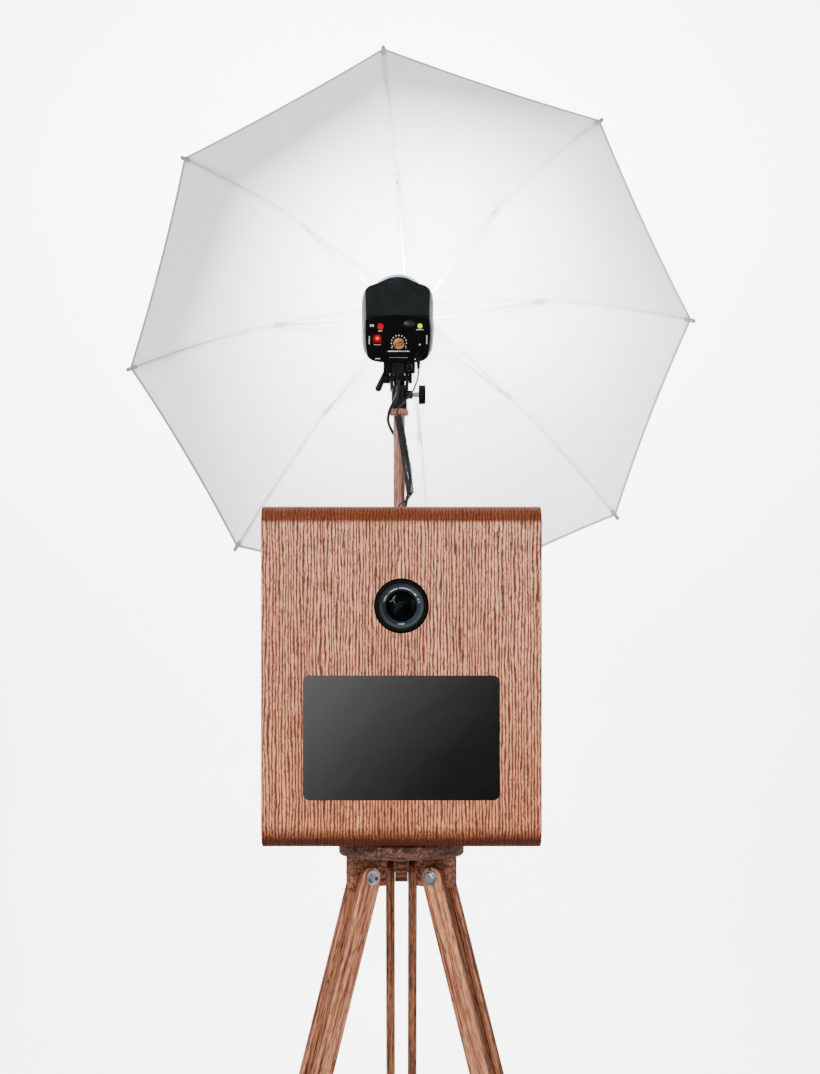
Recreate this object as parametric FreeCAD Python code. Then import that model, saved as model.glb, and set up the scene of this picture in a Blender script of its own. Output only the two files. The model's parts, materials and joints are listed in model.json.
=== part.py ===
import FreeCAD, Part
import math
import os

# An open-air photo booth: a plywood case with a camera and a touch screen on a wooden tripod, with a
# studio flash lamp and a shoot-through umbrella on a mast above it. Millimetres, +Z up, the front
# faces -Y. The origin is on the floor, under the middle of the tripod.

V = FreeCAD.Vector
X, Y, Z = V(1, 0, 0), V(0, 1, 0), V(0, 0, 1)

# ---- driving dimensions -----------------------------------------------------------------------

PLAY = 0.3                  # gap between parts that pass each other
RUNNING = 0.05              # radial play of a pin in its hole

# tripod
HEAD_TOP = 1060.0           # top of the tripod head, where the case stands
HEAD_RADIUS = 87.0
HEAD_THICK = 19.0
BLOCK_HEIGHT = 41.0         # the blocks under the head that carry the legs
BLOCK_THICK = 18.0
BLOCK_INNER = 27.0
BLOCK_OUTER = 83.0
PIVOT_RADIUS = 58.0         # leg bolts, from the tripod's axis
PIVOT_DROP = 46.0           # leg bolts, below the head's top
LEG_SPLAY = 16.0            # degrees from upright, legs open
LEG_DIRECTIONS = {"leg_left": 210.0, "leg_right": 330.0, "leg_rear": 90.0}
RAIL_THICK = 13.0
RAIL_WIDTH = 30.0
RAIL_EDGE = 3.0
FOOT_BLOCK_HEIGHT = 70.0
BOLT_RADIUS = 4.0
BOLT_HEAD_RADIUS = 8.2
BOLT_HEAD_HEIGHT = 4.5

# case
CASE_WIDTH = 374.0
CASE_HEIGHT = 457.0
CASE_DEPTH = 220.0
WALL = 10.0
BEND_RADIUS = 28.0          # outside radius of the bent top and bottom front edges
LENS_HEIGHT = 322.5         # lens axis above the case's bottom
LENS_HOLE_RADIUS = 36.7
FILTER_RADIUS = 28.6        # the lens's filter thread
SCREEN_WIDTH = 262.0
SCREEN_HEIGHT = 166.0
SCREEN_LOW = 63.8           # screen's lower edge above the case's bottom
SCREEN_CORNER = 9.0

# mast and lamp
MAST_X = -3.0
MAST_RADIUS = 8.0
MAST_TOP = 1689.5
PIVOT_HEIGHT = 1703.0       # tilt pivot above the floor
TILT = 24.5                 # degrees, lamp and umbrella, back end up
SOCKET_LOW = 1660.0
SOCKET_RADIUS = 11.0
CLAMP_HEIGHT = 1680.4
LAMP_SHIFT = -2.0           # lamp's axis to the side of the mast
LAMP_RISE = 82.5            # lamp's axis above the tilt pivot
LAMP_HALF_WIDTH = 49.0
LAMP_HALF_HEIGHT = 53.0
PANEL_Y = -34.0             # lamp's rear face, along its axis from the tilt pivot
SEAM_Y = -12.0              # rear cover meets the shell
SHELL_FRONT_Y = 74.0
REFLECTOR_FRONT_Y = 95.0
FRONT_RADIUS = 43.0

# umbrella
UMBRELLA_SHIFT = 14.0       # shaft to the side of the mast
UMBRELLA_RISE = 22.7        # shaft above the tilt pivot
APEX_Y = 344.4              # crown of the cloth, along the shaft from the tilt pivot
UMBRELLA_RADIUS = 405.0
UMBRELLA_DEPTH = 240.0
UMBRELLA_POWER = 2.5        # depth grows with this power of the radius
UMBRELLA_ROLL = 5.0         # degrees, first rib leans this far left of upright
RIBS = 8
SHAFT_RADIUS = 4.0
SHAFT_REAR_Y = -27.0
CLOTH_THICK = 0.8
RIB_DROP = 4.0              # rib's middle line inside the cloth's outer face
RIB_HALF_HEIGHT = 1.5
RIB_HALF_WIDTH = 1.2
HINGE_RADIUS = 9.0          # rib and stretcher pivots, from the shaft's axis
JOINT_SHARE = 0.515         # stretcher joint along the radius
RUNNER_DEPTH = 103.0        # runner's pivots behind the crown

# cords
SYNC_RADIUS = 1.2
CURL_RADIUS = 6.0
POWER_RADIUS = 2.2

# ---- helpers ----------------------------------------------------------------------------------


def box(x0, x1, y0, y1, z0, z1):
    return Part.makeBox(x1 - x0, y1 - y0, z1 - z0, V(x0, y0, z0))


def rod(start, end, radius):
    along = end - start
    return Part.makeCylinder(radius, along.Length, start, along)


def cone(start, end, start_radius, end_radius):
    along = end - start
    return Part.makeCone(start_radius, end_radius, along.Length, start, along)


def ring(start, end, outer, inner):
    return rod(start, end, outer).cut(rod(start, end, inner))


def straight_edges(shape, axis, wanted=lambda middle: True):
    """The straight edges along an axis whose middle point is wanted."""
    found = []
    for edge in shape.Edges:
        if edge.Curve.TypeId != "Part::GeomLine":
            continue
        if abs(edge.tangentAt(edge.FirstParameter).dot(axis)) > 0.999:
            if wanted(edge.CenterOfMass):
                found.append(edge)
    return found


def rounded(shape, radius, *axes):
    edges = [edge for axis in axes for edge in straight_edges(shape, axis)]
    return shape.makeFillet(radius, edges)


def turned(outline, start, axis):
    """A solid of revolution: outline holds (radius, distance along the axis) corners."""
    side = axis.cross(Z if abs(axis.z) < 0.9 else X).normalize()
    corners = [start + side * radius + axis * along for radius, along in outline]
    face = Part.Face(Part.makePolygon(corners + corners[:1]))
    return face.revolve(start, axis, 360)


def save(name, *solids):
    """Write one sub-part, a single solid or a group of separate ones."""
    solids = [solid for shape in solids for solid in shape.Solids]
    for solid in solids:
        if not solid.isValid():
            print("not valid:", name)
    shape = solids[0] if len(solids) == 1 else Part.makeCompound(solids)
    shape.exportStep(f"parts/{name}.step")
    SAVED.append(name)


SAVED = []

# ---- tripod -----------------------------------------------------------------------------------


def around_tripod(shape, direction):
    """Turn a shape made along +Y to a leg's direction and move it to that leg's bolt."""
    moved = shape.copy()
    moved.rotate(V(0, 0, 0), Z, direction - 90)
    angle = math.radians(direction)
    moved.translate(V(math.cos(angle), math.sin(angle), 0) * PIVOT_RADIUS)
    moved.translate(Z * (HEAD_TOP - PIVOT_DROP))
    return moved


def tripod_head():
    low = HEAD_TOP - HEAD_THICK
    head = Part.makeCylinder(HEAD_RADIUS, HEAD_THICK, V(0, 0, low))
    rims = [e for e in head.Edges if e.Curve.TypeId == "Part::GeomCircle"]
    head = head.makeFillet(6.0, [e for e in rims if e.CenterOfMass.z < low + 1])
    rims = [e for e in head.Edges if e.Curve.TypeId == "Part::GeomCircle"]
    head = head.makeFillet(1.5, [e for e in rims if e.CenterOfMass.z > HEAD_TOP - 1])
    return head.cut(rod(V(0, 0, low - 1), V(0, 0, HEAD_TOP + 1), 5.2))


def leg_block():
    """One block, about its bolt, along +Y."""
    top = PIVOT_DROP - HEAD_THICK
    block = box(-BLOCK_THICK / 2, BLOCK_THICK / 2, BLOCK_INNER - PIVOT_RADIUS,
                BLOCK_OUTER - PIVOT_RADIUS, top - BLOCK_HEIGHT, top)
    block = rounded(block, 1.5, Z)
    return block.cut(rod(V(-20, 0, 0), V(20, 0, 0), BOLT_RADIUS))


def leg_bolt():
    """Bolt with a domed head, a nut and two washers, about the pivot."""
    side = BLOCK_THICK / 2 + PLAY + RAIL_THICK + PLAY
    shank = rod(V(-side - 10, 0, 0), V(side + 2, 0, 0), BOLT_RADIUS)
    washers = [rod(V(s * side, 0, 0), V(s * (side + 1.2), 0, 0), 10.0) for s in (-1, 1)]
    head_low = side + 1.2
    head = rod(V(head_low, 0, 0), V(head_low + BOLT_HEAD_HEIGHT, 0, 0), BOLT_HEAD_RADIUS)
    rims = [e for e in head.Edges if e.CenterOfMass.x > head_low + 1 and e.Length > 20]
    head = head.makeFillet(2.5, [e for e in rims if e.Curve.TypeId == "Part::GeomCircle"])
    flats = [V(-head_low, 7.5 * math.cos(math.radians(60 * i)), 7.5 * math.sin(math.radians(60 * i)))
             for i in range(6)]
    nut = Part.Face(Part.makePolygon(flats + flats[:1])).extrude(V(-6.5, 0, 0))
    bolt = shank.fuse(washers + [head, nut])
    return bolt.removeSplitter()


def leg():
    """Two rails and the block between their feet, hanging from the pivot, then splayed along +Y."""
    long = (HEAD_TOP - PIVOT_DROP) / math.cos(math.radians(LEG_SPLAY)) + RAIL_WIDTH
    inner = BLOCK_THICK / 2 + PLAY
    half = RAIL_WIDTH / 2
    solids = []
    for side in (-1, 1):
        x0, x1 = sorted((side * inner, side * (inner + RAIL_THICK)))
        rail = rounded(box(x0, x1, -half, half, -long, 0), RAIL_EDGE, Z)
        top = rod(V(x0, 0, 0), V(x1, 0, 0), half)
        rims = [e for e in top.Edges if e.Curve.TypeId == "Part::GeomCircle"]
        rail = rail.fuse(top.makeFillet(RAIL_EDGE - 0.5, rims))
        solids.append(rail.cut(rod(V(x0 - 1, 0, 0), V(x1 + 1, 0, 0), BOLT_RADIUS + RUNNING)))
    solids.append(box(-inner, inner, 3 - half, half - 3, -long, FOOT_BLOCK_HEIGHT - long))
    return Part.makeCompound(solids)


def make_tripod():
    save("tripod_head", tripod_head())
    save("leg_blocks", *[around_tripod(leg_block(), d) for d in LEG_DIRECTIONS.values()])
    save("leg_bolts", *[around_tripod(leg_bolt(), d) for d in LEG_DIRECTIONS.values()])
    splayed = leg()
    splayed.rotate(V(0, 0, 0), X, LEG_SPLAY)
    below_floor = box(-900, 900, -900, 900, -200, 0)
    for name, direction in LEG_DIRECTIONS.items():
        save(name, around_tripod(splayed, direction).cut(below_floor))
    low = HEAD_TOP - HEAD_THICK
    knob = turned([(0, 0), (9, 0), (10.5, 2), (10.5, 17), (9, 19), (7.5, 20), (7.5, 23), (0, 23)],
                  V(0, 0, low - 24), Z)
    grips = [rod(V(12.2 * math.cos(a), 12.2 * math.sin(a), low - 30),
                 V(12.2 * math.cos(a), 12.2 * math.sin(a), low), 2.4)
             for a in (math.radians(45 * i) for i in range(8))]
    screw = rod(V(0, 0, low - 5), V(0, 0, HEAD_TOP + WALL + 4), 4.75)
    save("centre_screw", knob.cut(grips).fuse(screw))


# ---- case -------------------------------------------------------------------------------------

HALF_WIDTH = CASE_WIDTH / 2
FRONT_Y = -CASE_DEPTH / 2
REAR_Y = CASE_DEPTH / 2
CASE_LOW = HEAD_TOP + PLAY
CASE_TOP = CASE_LOW + CASE_HEIGHT
LENS_Z = CASE_LOW + LENS_HEIGHT
SCREEN_Z = CASE_LOW + SCREEN_LOW + SCREEN_HEIGHT / 2
DOOR_THICK = 10.0
DOOR_GAP = 1.0
DOOR_TOP = CASE_LOW + 311.0     # below the lowest rib of the open umbrella
DOOR_PIN = V(-HALF_WIDTH + WALL + 6.0, REAR_Y - DOOR_THICK / 2, 0)
GLAND = V(1.0, -20.0, CASE_TOP)
SYNC_HOLE = V(-4.0, -22.0, CASE_TOP)
POWER_HOLE = V(5.5, -18.0, CASE_TOP)


def case_core(half_width, inset):
    """The case's body with its bent front edges, inset on the front, top and bottom."""
    core = box(-half_width, half_width, FRONT_Y + inset, REAR_Y, CASE_LOW + inset, CASE_TOP - inset)
    bends = straight_edges(core, X, lambda middle: middle.y < 0)
    return core.makeFillet(BEND_RADIUS - inset, bends)


def screen_plate(grow, y0, y1):
    width, height = SCREEN_WIDTH / 2 + grow, SCREEN_HEIGHT / 2 + grow
    plate = box(-width, width, y0, y1, SCREEN_Z - height, SCREEN_Z + height)
    return rounded(plate, SCREEN_CORNER + grow, Y)


def front_shell():
    """The bent bottom, the front board and the bent top, glued edge to edge."""
    shell = case_core(HALF_WIDTH, 0)
    sides = [e for e in shell.Edges if abs(e.CenterOfMass.x) > HALF_WIDTH - 0.01
             and e.CenterOfMass.y < REAR_Y - 1]
    shell = shell.makeFillet(1.5, sides)
    hollow = case_core(HALF_WIDTH + 5, WALL)
    behind = box(-HALF_WIDTH - 5, HALF_WIDTH + 5, 0, REAR_Y + 5, CASE_LOW + WALL, CASE_TOP - WALL)
    shell = shell.cut([hollow, behind]).cut([
        rod(V(0, FRONT_Y - 1, LENS_Z), V(0, FRONT_Y + WALL + 1, LENS_Z), LENS_HOLE_RADIUS),
        screen_plate(0, FRONT_Y - 1, FRONT_Y + WALL + 1),
        rod(V(MAST_X, 0, CASE_TOP - WALL - 1), V(MAST_X, 0, CASE_TOP + 1), MAST_RADIUS + PLAY),
        rod(GLAND - Z * (WALL + 1), GLAND + Z, 8.0),
        rod(V(0, 0, CASE_LOW - 1), V(0, 0, CASE_LOW + WALL + 1), 5.2),
        rod(DOOR_PIN + Z * (CASE_LOW + 4), DOOR_PIN + Z * (CASE_LOW + WALL + 1), 2.5),
    ])
    reach = HALF_WIDTH + 1
    boards = []
    for z0, z1 in ((CASE_LOW - 1, CASE_LOW + BEND_RADIUS), (CASE_LOW + BEND_RADIUS, CASE_TOP - BEND_RADIUS),
                   (CASE_TOP - BEND_RADIUS, CASE_TOP + 1)):
        boards.append(shell.common(box(-reach, reach, FRONT_Y - 1, REAR_Y + 1, z0, z1)))
    return boards


def side_panels():
    """Both sides, the door's stop and the fixed panel above the door."""
    inside = case_core(HALF_WIDTH, WALL)
    panels = [inside.common(box(min(x0, x1), max(x0, x1), FRONT_Y, REAR_Y, CASE_LOW, CASE_TOP))
              for x0, x1 in ((-HALF_WIDTH, -HALF_WIDTH + WALL), (HALF_WIDTH - WALL, HALF_WIDTH))]
    stop = box(HALF_WIDTH - WALL - 12, HALF_WIDTH - WALL, REAR_Y - DOOR_THICK - 14,
               REAR_Y - DOOR_THICK - PLAY, CASE_LOW + WALL, DOOR_TOP)
    half = HALF_WIDTH - WALL
    above = box(-half, half, REAR_Y - DOOR_THICK, REAR_Y, DOOR_TOP + DOOR_GAP, CASE_TOP - WALL)
    return panels + [stop, above.cut(rod(DOOR_PIN + Z * DOOR_TOP, DOOR_PIN + Z * (DOOR_TOP + 8), 2.5))]


def rear_door():
    low, high = CASE_LOW + WALL + DOOR_GAP, DOOR_TOP
    half = HALF_WIDTH - WALL - DOOR_GAP
    door = box(-half, half, REAR_Y - DOOR_THICK, REAR_Y, low, high)
    hinge_side = straight_edges(door, Z, lambda middle: middle.x < 0)
    door = door.makeFillet(DOOR_THICK / 2 - 0.1, hinge_side)
    slots = [rounded(box(-60, 60, REAR_Y - DOOR_THICK - 1, REAR_Y + 1, z, z + 8), 3.9, Y)
             for z in (low + 40 + 18 * i for i in range(4))]
    bores = [rod(DOOR_PIN + Z * (low - 1), DOOR_PIN + Z * (low + 10), 2.5 + RUNNING),
             rod(DOOR_PIN + Z * (high - 10), DOOR_PIN + Z * (high + 1), 2.5 + RUNNING)]
    knob_hole = rod(V(150, REAR_Y - DOOR_THICK - 1, SCREEN_Z + 90), V(150, REAR_Y + 1, SCREEN_Z + 90), 3)
    return door.cut(slots + bores + [knob_hole])


def door_knob():
    outline = [(0, -DOOR_THICK - 3), (6, -DOOR_THICK - 3), (6, -DOOR_THICK), (3, -DOOR_THICK),
               (3, 0), (7, 0), (7, 3), (5.5, 5), (6.5, 10), (11, 14), (11, 18), (8, 21), (0, 21)]
    return turned(outline, V(150, REAR_Y, SCREEN_Z + 90), Y)


def make_camera():
    axis = V(0, 0, LENS_Z)
    outline = [(0, -90), (20.5, -90), (20.5, -97), (26, -103), (FILTER_RADIUS, -103),
               (FILTER_RADIUS, -106), (30, -106), (30, -80), (27, -80), (27, -28), (0, -28)]
    save("lens_barrel", turned(outline, axis, Y))
    ridges = ring(axis + Y * -79.5, axis + Y * -52, 33.5, 27 + PLAY)
    save("zoom_ring", ridges)
    glass = rod(axis + Y * -110, axis + Y * -90.2, 20.3)
    curve = Part.makeSphere(52, axis + Y * (-98.5 + 52))
    save("lens_glass", glass.common(curve))
    low = LENS_Z - 45
    body = rounded(box(-66, 66, -28 + PLAY, 42, low, low + 90), 7, X, Z)
    hump = rounded(box(-27, 27, -22, 30, low + 80, low + 104), 8, X, Y)
    grip = rounded(box(-66, -40, -44, 0, low + 4, low + 84), 8, Z)
    save("camera_body", body.fuse([hump, grip]))
    shelf = box(-HALF_WIDTH + WALL, HALF_WIDTH - WALL, -62, 62, low - 8, low)
    hole = rod(V(0, 8, low - 9), V(0, 8, low + 1), 3.2)
    screw = rod(V(0, 8, low - 8 - 5), V(0, 8, low - 8), 9)
    save("camera_shelf", shelf.cut(hole), screw.fuse(rod(V(0, 8, low - 9), V(0, 8, low), 3.2)))


def make_case():
    save("front_shell", *front_shell())
    save("side_panels", *side_panels())
    save("rear_door", rear_door())
    save("door_pins", rod(DOOR_PIN + Z * (CASE_LOW + 4), DOOR_PIN + Z * (CASE_LOW + WALL + 9), 2.5),
         rod(DOOR_PIN + Z * (DOOR_TOP - 9), DOOR_PIN + Z * (DOOR_TOP + 8), 2.5))
    save("door_knob", door_knob())
    save("lens_bezel", turned([(31, -2), (34, -2), (36.5, 0.5), (36.5, 12), (31, 12)],
                              V(0, FRONT_Y + 0.8, LENS_Z), Y))
    glass = screen_plate(-PLAY, FRONT_Y - 0.3, FRONT_Y + 2.7)
    housing = screen_plate(-3, FRONT_Y + 2.7, FRONT_Y + 13)
    flange = screen_plate(9, FRONT_Y + WALL + 0.1, FRONT_Y + 13)
    save("touch_screen", glass, housing.fuse(flange))
    make_camera()
    under = CASE_TOP - WALL
    plate = rounded(box(MAST_X - 30, MAST_X + 30, -11, 49, under - 5, under), 5, Z)
    tube = rod(V(MAST_X, 0, under - 62), V(MAST_X, 0, under - 5), 12)
    bore = rod(V(MAST_X, 0, under - 58), V(MAST_X, 0, under + 1), MAST_RADIUS + RUNNING)
    save("mast_socket", plate.fuse(tube).cut(bore))
    gland = rod(GLAND - Z * 16, GLAND, 8.0).fuse(cone(GLAND, GLAND + Z * 3, 11, 9.5))
    holes = [rod(SYNC_HOLE - Z * 20, SYNC_HOLE + Z * 5, SYNC_RADIUS),
             rod(POWER_HOLE - Z * 20, POWER_HOLE + Z * 5, POWER_RADIUS)]
    save("cable_gland", gland.cut(holes))


# ---- mast and lamp ----------------------------------------------------------------------------

MAST = V(MAST_X, 0, 0)
PIVOT = V(MAST_X, 0, PIVOT_HEIGHT)
LAMP_AXIS = V(LAMP_SHIFT, 0, LAMP_RISE)


def tilted(shape):
    """Move a shape made about the level tilt pivot to its tilted place."""
    moved = shape.copy()
    moved.rotate(V(0, 0, 0), X, TILT)
    moved.translate(PIVOT)
    return moved


def section(y, half_width, half_height, power):
    """A closed outline across the lamp's axis: an ellipse at power 2, boxier above it."""
    points = []
    count = 32
    for i in range(count):
        turn = 2 * math.pi * i / count
        c, s = math.cos(turn), math.sin(turn)
        x = half_width * math.copysign(abs(c) ** (2 / power), c)
        z = half_height * math.copysign(abs(s) ** (2 / power), s)
        points.append(LAMP_AXIS + V(x, y, z))
    curve = Part.BSplineCurve()
    curve.interpolate(Points=points, PeriodicFlag=True)
    return Part.Wire([curve.toShape()])


def loft(*sections):
    return Part.makeLoft(list(sections), True, False)


def shell_outer():
    return loft(section(SEAM_Y, LAMP_HALF_WIDTH, LAMP_HALF_HEIGHT, 5),
                section(SHELL_FRONT_Y, FRONT_RADIUS, FRONT_RADIUS, 2))


def lamp_shell():
    skin = 2.5
    inner = loft(section(SEAM_Y - 0.01, LAMP_HALF_WIDTH - skin, LAMP_HALF_HEIGHT - skin, 5),
                 section(SHELL_FRONT_Y - skin, FRONT_RADIUS - skin, FRONT_RADIUS - skin, 2))
    mouth = rod(LAMP_AXIS, LAMP_AXIS + Y * (SHELL_FRONT_Y + 1), 17)
    return shell_outer().cut([inner, mouth])


def slope(drop):
    """The wedge cut off the rear cover's top, lowered by drop."""
    rise = (LAMP_HALF_HEIGHT - 15.0) / (SEAM_Y - PANEL_Y)
    reach = 20.0
    corners = [(PANEL_Y - reach, 15.0 - rise * reach - drop), (SEAM_Y + 0.1, LAMP_HALF_HEIGHT - drop),
               (SEAM_Y + 0.1, 90.0), (PANEL_Y - reach, 90.0)]
    points = [LAMP_AXIS + V(-70, y, z) for y, z in corners]
    return Part.Face(Part.makePolygon(points + points[:1])).extrude(V(140, 0, 0))


BUTTON = LAMP_AXIS + V(-23.3, PANEL_Y, -0.3)
SWITCH = LAMP_AXIS + V(-27.8, PANEL_Y, -18.0)
DIAL = LAMP_AXIS + V(1.6, PANEL_Y, -23.0)
LIGHT = LAMP_AXIS + V(30.2, PANEL_Y, 0.1)
JACK = LAMP_AXIS + V(28.3, PANEL_Y, -42.2)
INLET = V(-1.0, PANEL_Y + 8.0, LAMP_RISE - LAMP_HALF_HEIGHT)


def panel_holes():
    """Everything that passes through the panel and the rear cover."""
    deep, out = Y * 8, Y * -8
    return [
        rod(BUTTON + out, BUTTON + deep, 4.5),
        box(SWITCH.x - 5.8, SWITCH.x + 5.8, PANEL_Y - 8, PANEL_Y + 8, SWITCH.z - 6.3, SWITCH.z + 6.3),
        rod(DIAL + out, DIAL + deep, 3 + RUNNING),
        rod(LIGHT + out, LIGHT + deep, 3.3),
        rod(JACK + out, JACK + deep, 2.5),
    ]


def rear_cover():
    skin = 2.5
    outer = loft(section(PANEL_Y, LAMP_HALF_WIDTH - 3, LAMP_HALF_HEIGHT - 2, 5),
                 section(SEAM_Y, LAMP_HALF_WIDTH, LAMP_HALF_HEIGHT, 5))
    inner = loft(section(PANEL_Y + skin, LAMP_HALF_WIDTH - 3 - skin, LAMP_HALF_HEIGHT - 2 - skin, 5),
                 section(SEAM_Y + 0.01, LAMP_HALF_WIDTH - skin, LAMP_HALF_HEIGHT - skin, 5))
    cover = outer.cut(slope(0)).cut(inner.cut(slope(4.5)))
    inlet = box(INLET.x - 8.2, INLET.x + 8.2, INLET.y - 6.2, INLET.y + 6.2, INLET.z - 1, INLET.z + 12)
    return cover.cut(panel_holes() + [inlet])


def control_panel():
    thick = 1.5
    plate = loft(section(PANEL_Y - thick, 43.5, 49.5, 5), section(PANEL_Y, 43.5, 49.5, 5))
    arch_radius = 157.0
    centre = LAMP_AXIS + Z * (14.0 - arch_radius)
    arch = rod(centre + Y * (PANEL_Y - 5), centre + Y * (PANEL_Y + 5), arch_radius)
    return plate.common(arch).cut(panel_holes())


def rocker():
    corners = [(3.5, -5.2), (-2.2, -5.2), (-2.6, 0), (-4.6, 5.2), (3.5, 5.2)]
    points = [SWITCH + V(-5.4, y, z) for y, z in corners]
    return Part.Face(Part.makePolygon(points + points[:1])).extrude(V(10.8, 0, 0))


def flash_tube():
    centre = LAMP_AXIS + Y * (REFLECTOR_FRONT_Y - 11)
    tube = Part.makeTorus(12, 2.5, centre, Y)
    stems = [rod(centre + V(s * 12, -16, 0), centre + V(s * 12, 0, 0), 1.6) for s in (-1, 1)]
    return tube.fuse(stems)


def lamp_socket():
    tube = rod(MAST + Z * SOCKET_LOW, MAST + Z * 1693, SOCKET_RADIUS)
    base = rounded(box(-13, 13, -11, 11, 1686, 1692), 4, Z)
    base.translate(MAST)
    lug = box(8, 18.5, -5.5, 5.5, CLAMP_HEIGHT - 5.5, CLAMP_HEIGHT + 5.5)
    lug = rounded(lug, 2, X)
    lug.translate(MAST)
    cheeks = []
    for side in (-1, 1):
        x0, x1 = sorted((side * 8.0, side * 13.0))
        cheek = rod(PIVOT + X * x0, PIVOT + X * x1, 11)
        post = box(x0, x1, -11, 11, 1690, PIVOT_HEIGHT)
        post.translate(MAST)
        cheeks += [cheek, post]
    body = tube.fuse([base, lug] + cheeks)
    bore = rod(MAST + Z * (SOCKET_LOW - 1), MAST + Z * (MAST_TOP + 0.5), MAST_RADIUS + RUNNING)
    gap = box(-8, 8, -12, 12, 1692, PIVOT_HEIGHT + 12)
    gap.translate(MAST)
    screw = rod(V(MAST_X, 0, CLAMP_HEIGHT), V(MAST_X + 30, 0, CLAMP_HEIGHT), 3 + RUNNING)
    pin = rod(PIVOT - X * 20, PIVOT + X * 20, 4 + RUNNING)
    nut = ring(PIVOT + X * 13.2, PIVOT + X * 18, 7, 4 + RUNNING)
    return [body.cut([bore, gap, screw, pin]), nut]


def knurled(start, axis, radius, length, grooves, groove_radius):
    """A round grip with grooves along it."""
    knob = Part.makeCylinder(radius, length, start, axis)
    rims = [e for e in knob.Edges if e.Curve.TypeId == "Part::GeomCircle"]
    knob = knob.makeFillet(min(1.2, length / 5), rims)
    side = axis.cross(Z if abs(axis.z) < 0.9 else X).normalize()
    up = axis.cross(side)
    cuts = []
    for i in range(grooves):
        turn = 2 * math.pi * i / grooves
        middle = start + (side * math.cos(turn) + up * math.sin(turn)) * (radius + groove_radius * 0.5)
        cuts.append(rod(middle - axis, middle + axis * (length + 1), groove_radius))
    return knob.cut(cuts)


def make_mast():
    pole = rod(MAST + Z * (CASE_TOP - WALL - 57), MAST + Z * MAST_TOP, MAST_RADIUS)
    collar = ring(MAST + Z * 1651.5, MAST + Z * (SOCKET_LOW - PLAY), 13, MAST_RADIUS)
    rims = [e for e in collar.Edges if e.Length > 70 and e.Curve.TypeId == "Part::GeomCircle"]
    save("mast", pole, collar.makeFillet(1.5, rims))
    save("lamp_socket", *lamp_socket())
    screw = rod(V(MAST_X + 8.4, 0, CLAMP_HEIGHT), V(MAST_X + 28, 0, CLAMP_HEIGHT), 3)
    knob = knurled(V(MAST_X + 27, 0, CLAMP_HEIGHT), X, 13.3, 9.6, 12, 1.6)
    save("clamp_knob", knob.fuse(screw))
    hub = rod(PIVOT - X * 24, PIVOT - X * 13.3, 7)
    handle = cone(PIVOT + V(-19, 0, 9), PIVOT + V(-29, -2, -14), 3.4, 4.6)
    end = Part.makeSphere(4.6, PIVOT + V(-29, -2, -14))
    bolt = rod(PIVOT - X * 20, PIVOT + X * 18, 4)
    save("tilt_lever", hub.fuse([handle, end, bolt]))


def make_lamp():
    save("lamp_shell", tilted(lamp_shell()))
    save("rear_cover", tilted(rear_cover()))
    save("control_panel", tilted(control_panel()))
    block = rounded(box(-22, 22, -20, 24, 12.5, 40), 3, Z)
    lug = rod(V(-7.6, 0, 0), V(7.6, 0, 0), 10).fuse(box(-7.6, 7.6, -10, 10, 0, 14))
    shaft = V(UMBRELLA_SHIFT, 0, UMBRELLA_RISE)
    block = block.cut(rod(shaft - Y * 30, shaft + Y * 30, SHAFT_RADIUS + 0.1))
    block = block.cut([shell_outer(), box(-60, 60, -60, SEAM_Y, 29.4, 60)])
    block = block.fuse(lug).cut(rod(V(-10, 0, 0), V(10, 0, 0), 4 + RUNNING))
    screw_place = V(UMBRELLA_SHIFT, 18, 0)
    block = block.cut(rod(screw_place, screw_place + Z * UMBRELLA_RISE, 2.5 + RUNNING))
    save("lamp_foot", tilted(block))
    screw = rod(screw_place + Z * 8, screw_place + Z * (UMBRELLA_RISE - SHAFT_RADIUS - 0.2), 2.5)
    save("umbrella_screw", tilted(knurled(screw_place + Z * 3, Z, 5.5, 8.5, 8, 1.0).fuse(screw)))
    back = SHELL_FRONT_Y + 0.05
    dish = turned([(16, back), (43, back), (42, REFLECTOR_FRONT_Y), (39.5, REFLECTOR_FRONT_Y),
                   (30, back + 4), (16, back + 3)], LAMP_AXIS, Y)
    save("reflector", tilted(dish))
    save("flash_tube", tilted(flash_tube()))
    save("power_dial", tilted(knurled(DIAL + Y * -9, Y, 7.5, 7.2, 18, 0.6)
                              .fuse(rod(DIAL + Y * -4, DIAL + Y * 4, 3))))
    save("test_button", tilted(rod(BUTTON + Y * -4, BUTTON + Y * 2.5, 4.3)))
    save("power_switch", tilted(rocker()))
    dome = rod(LIGHT + Y * -2, LIGHT + Y * 3, 3.3).fuse(Part.makeSphere(3.3, LIGHT + Y * -2))
    save("ready_light", tilted(dome))
    plug = rounded(box(-8, 8, -6, 6, -16, 9), 2, Z).fuse(cone(V(0, 0, -24), V(0, 0, -16), 3.2, 5.2))
    plug.translate(INLET)
    save("power_plug", tilted(plug))
    jack = rod(JACK + Y * -11, JACK + Y * -1.5, 4).fuse(rod(JACK + Y * -2, JACK + Y * 5, 2.5))
    boot = cone(JACK + V(0, -7.5, -15), JACK + V(0, -7.5, 0), 2.0, 3.0)
    save("sync_plug", tilted(jack.fuse(boot)))


# ---- umbrella ---------------------------------------------------------------------------------

SHAFT = V(UMBRELLA_SHIFT, 0, UMBRELLA_RISE)
APEX = SHAFT + Y * APEX_Y


def cloth_depth(radius):
    return UMBRELLA_DEPTH * (radius / UMBRELLA_RADIUS) ** UMBRELLA_POWER


def cloth_slope(radius):
    share = (radius / UMBRELLA_RADIUS) ** (UMBRELLA_POWER - 1)
    return UMBRELLA_POWER * UMBRELLA_DEPTH / UMBRELLA_RADIUS * share


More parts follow.
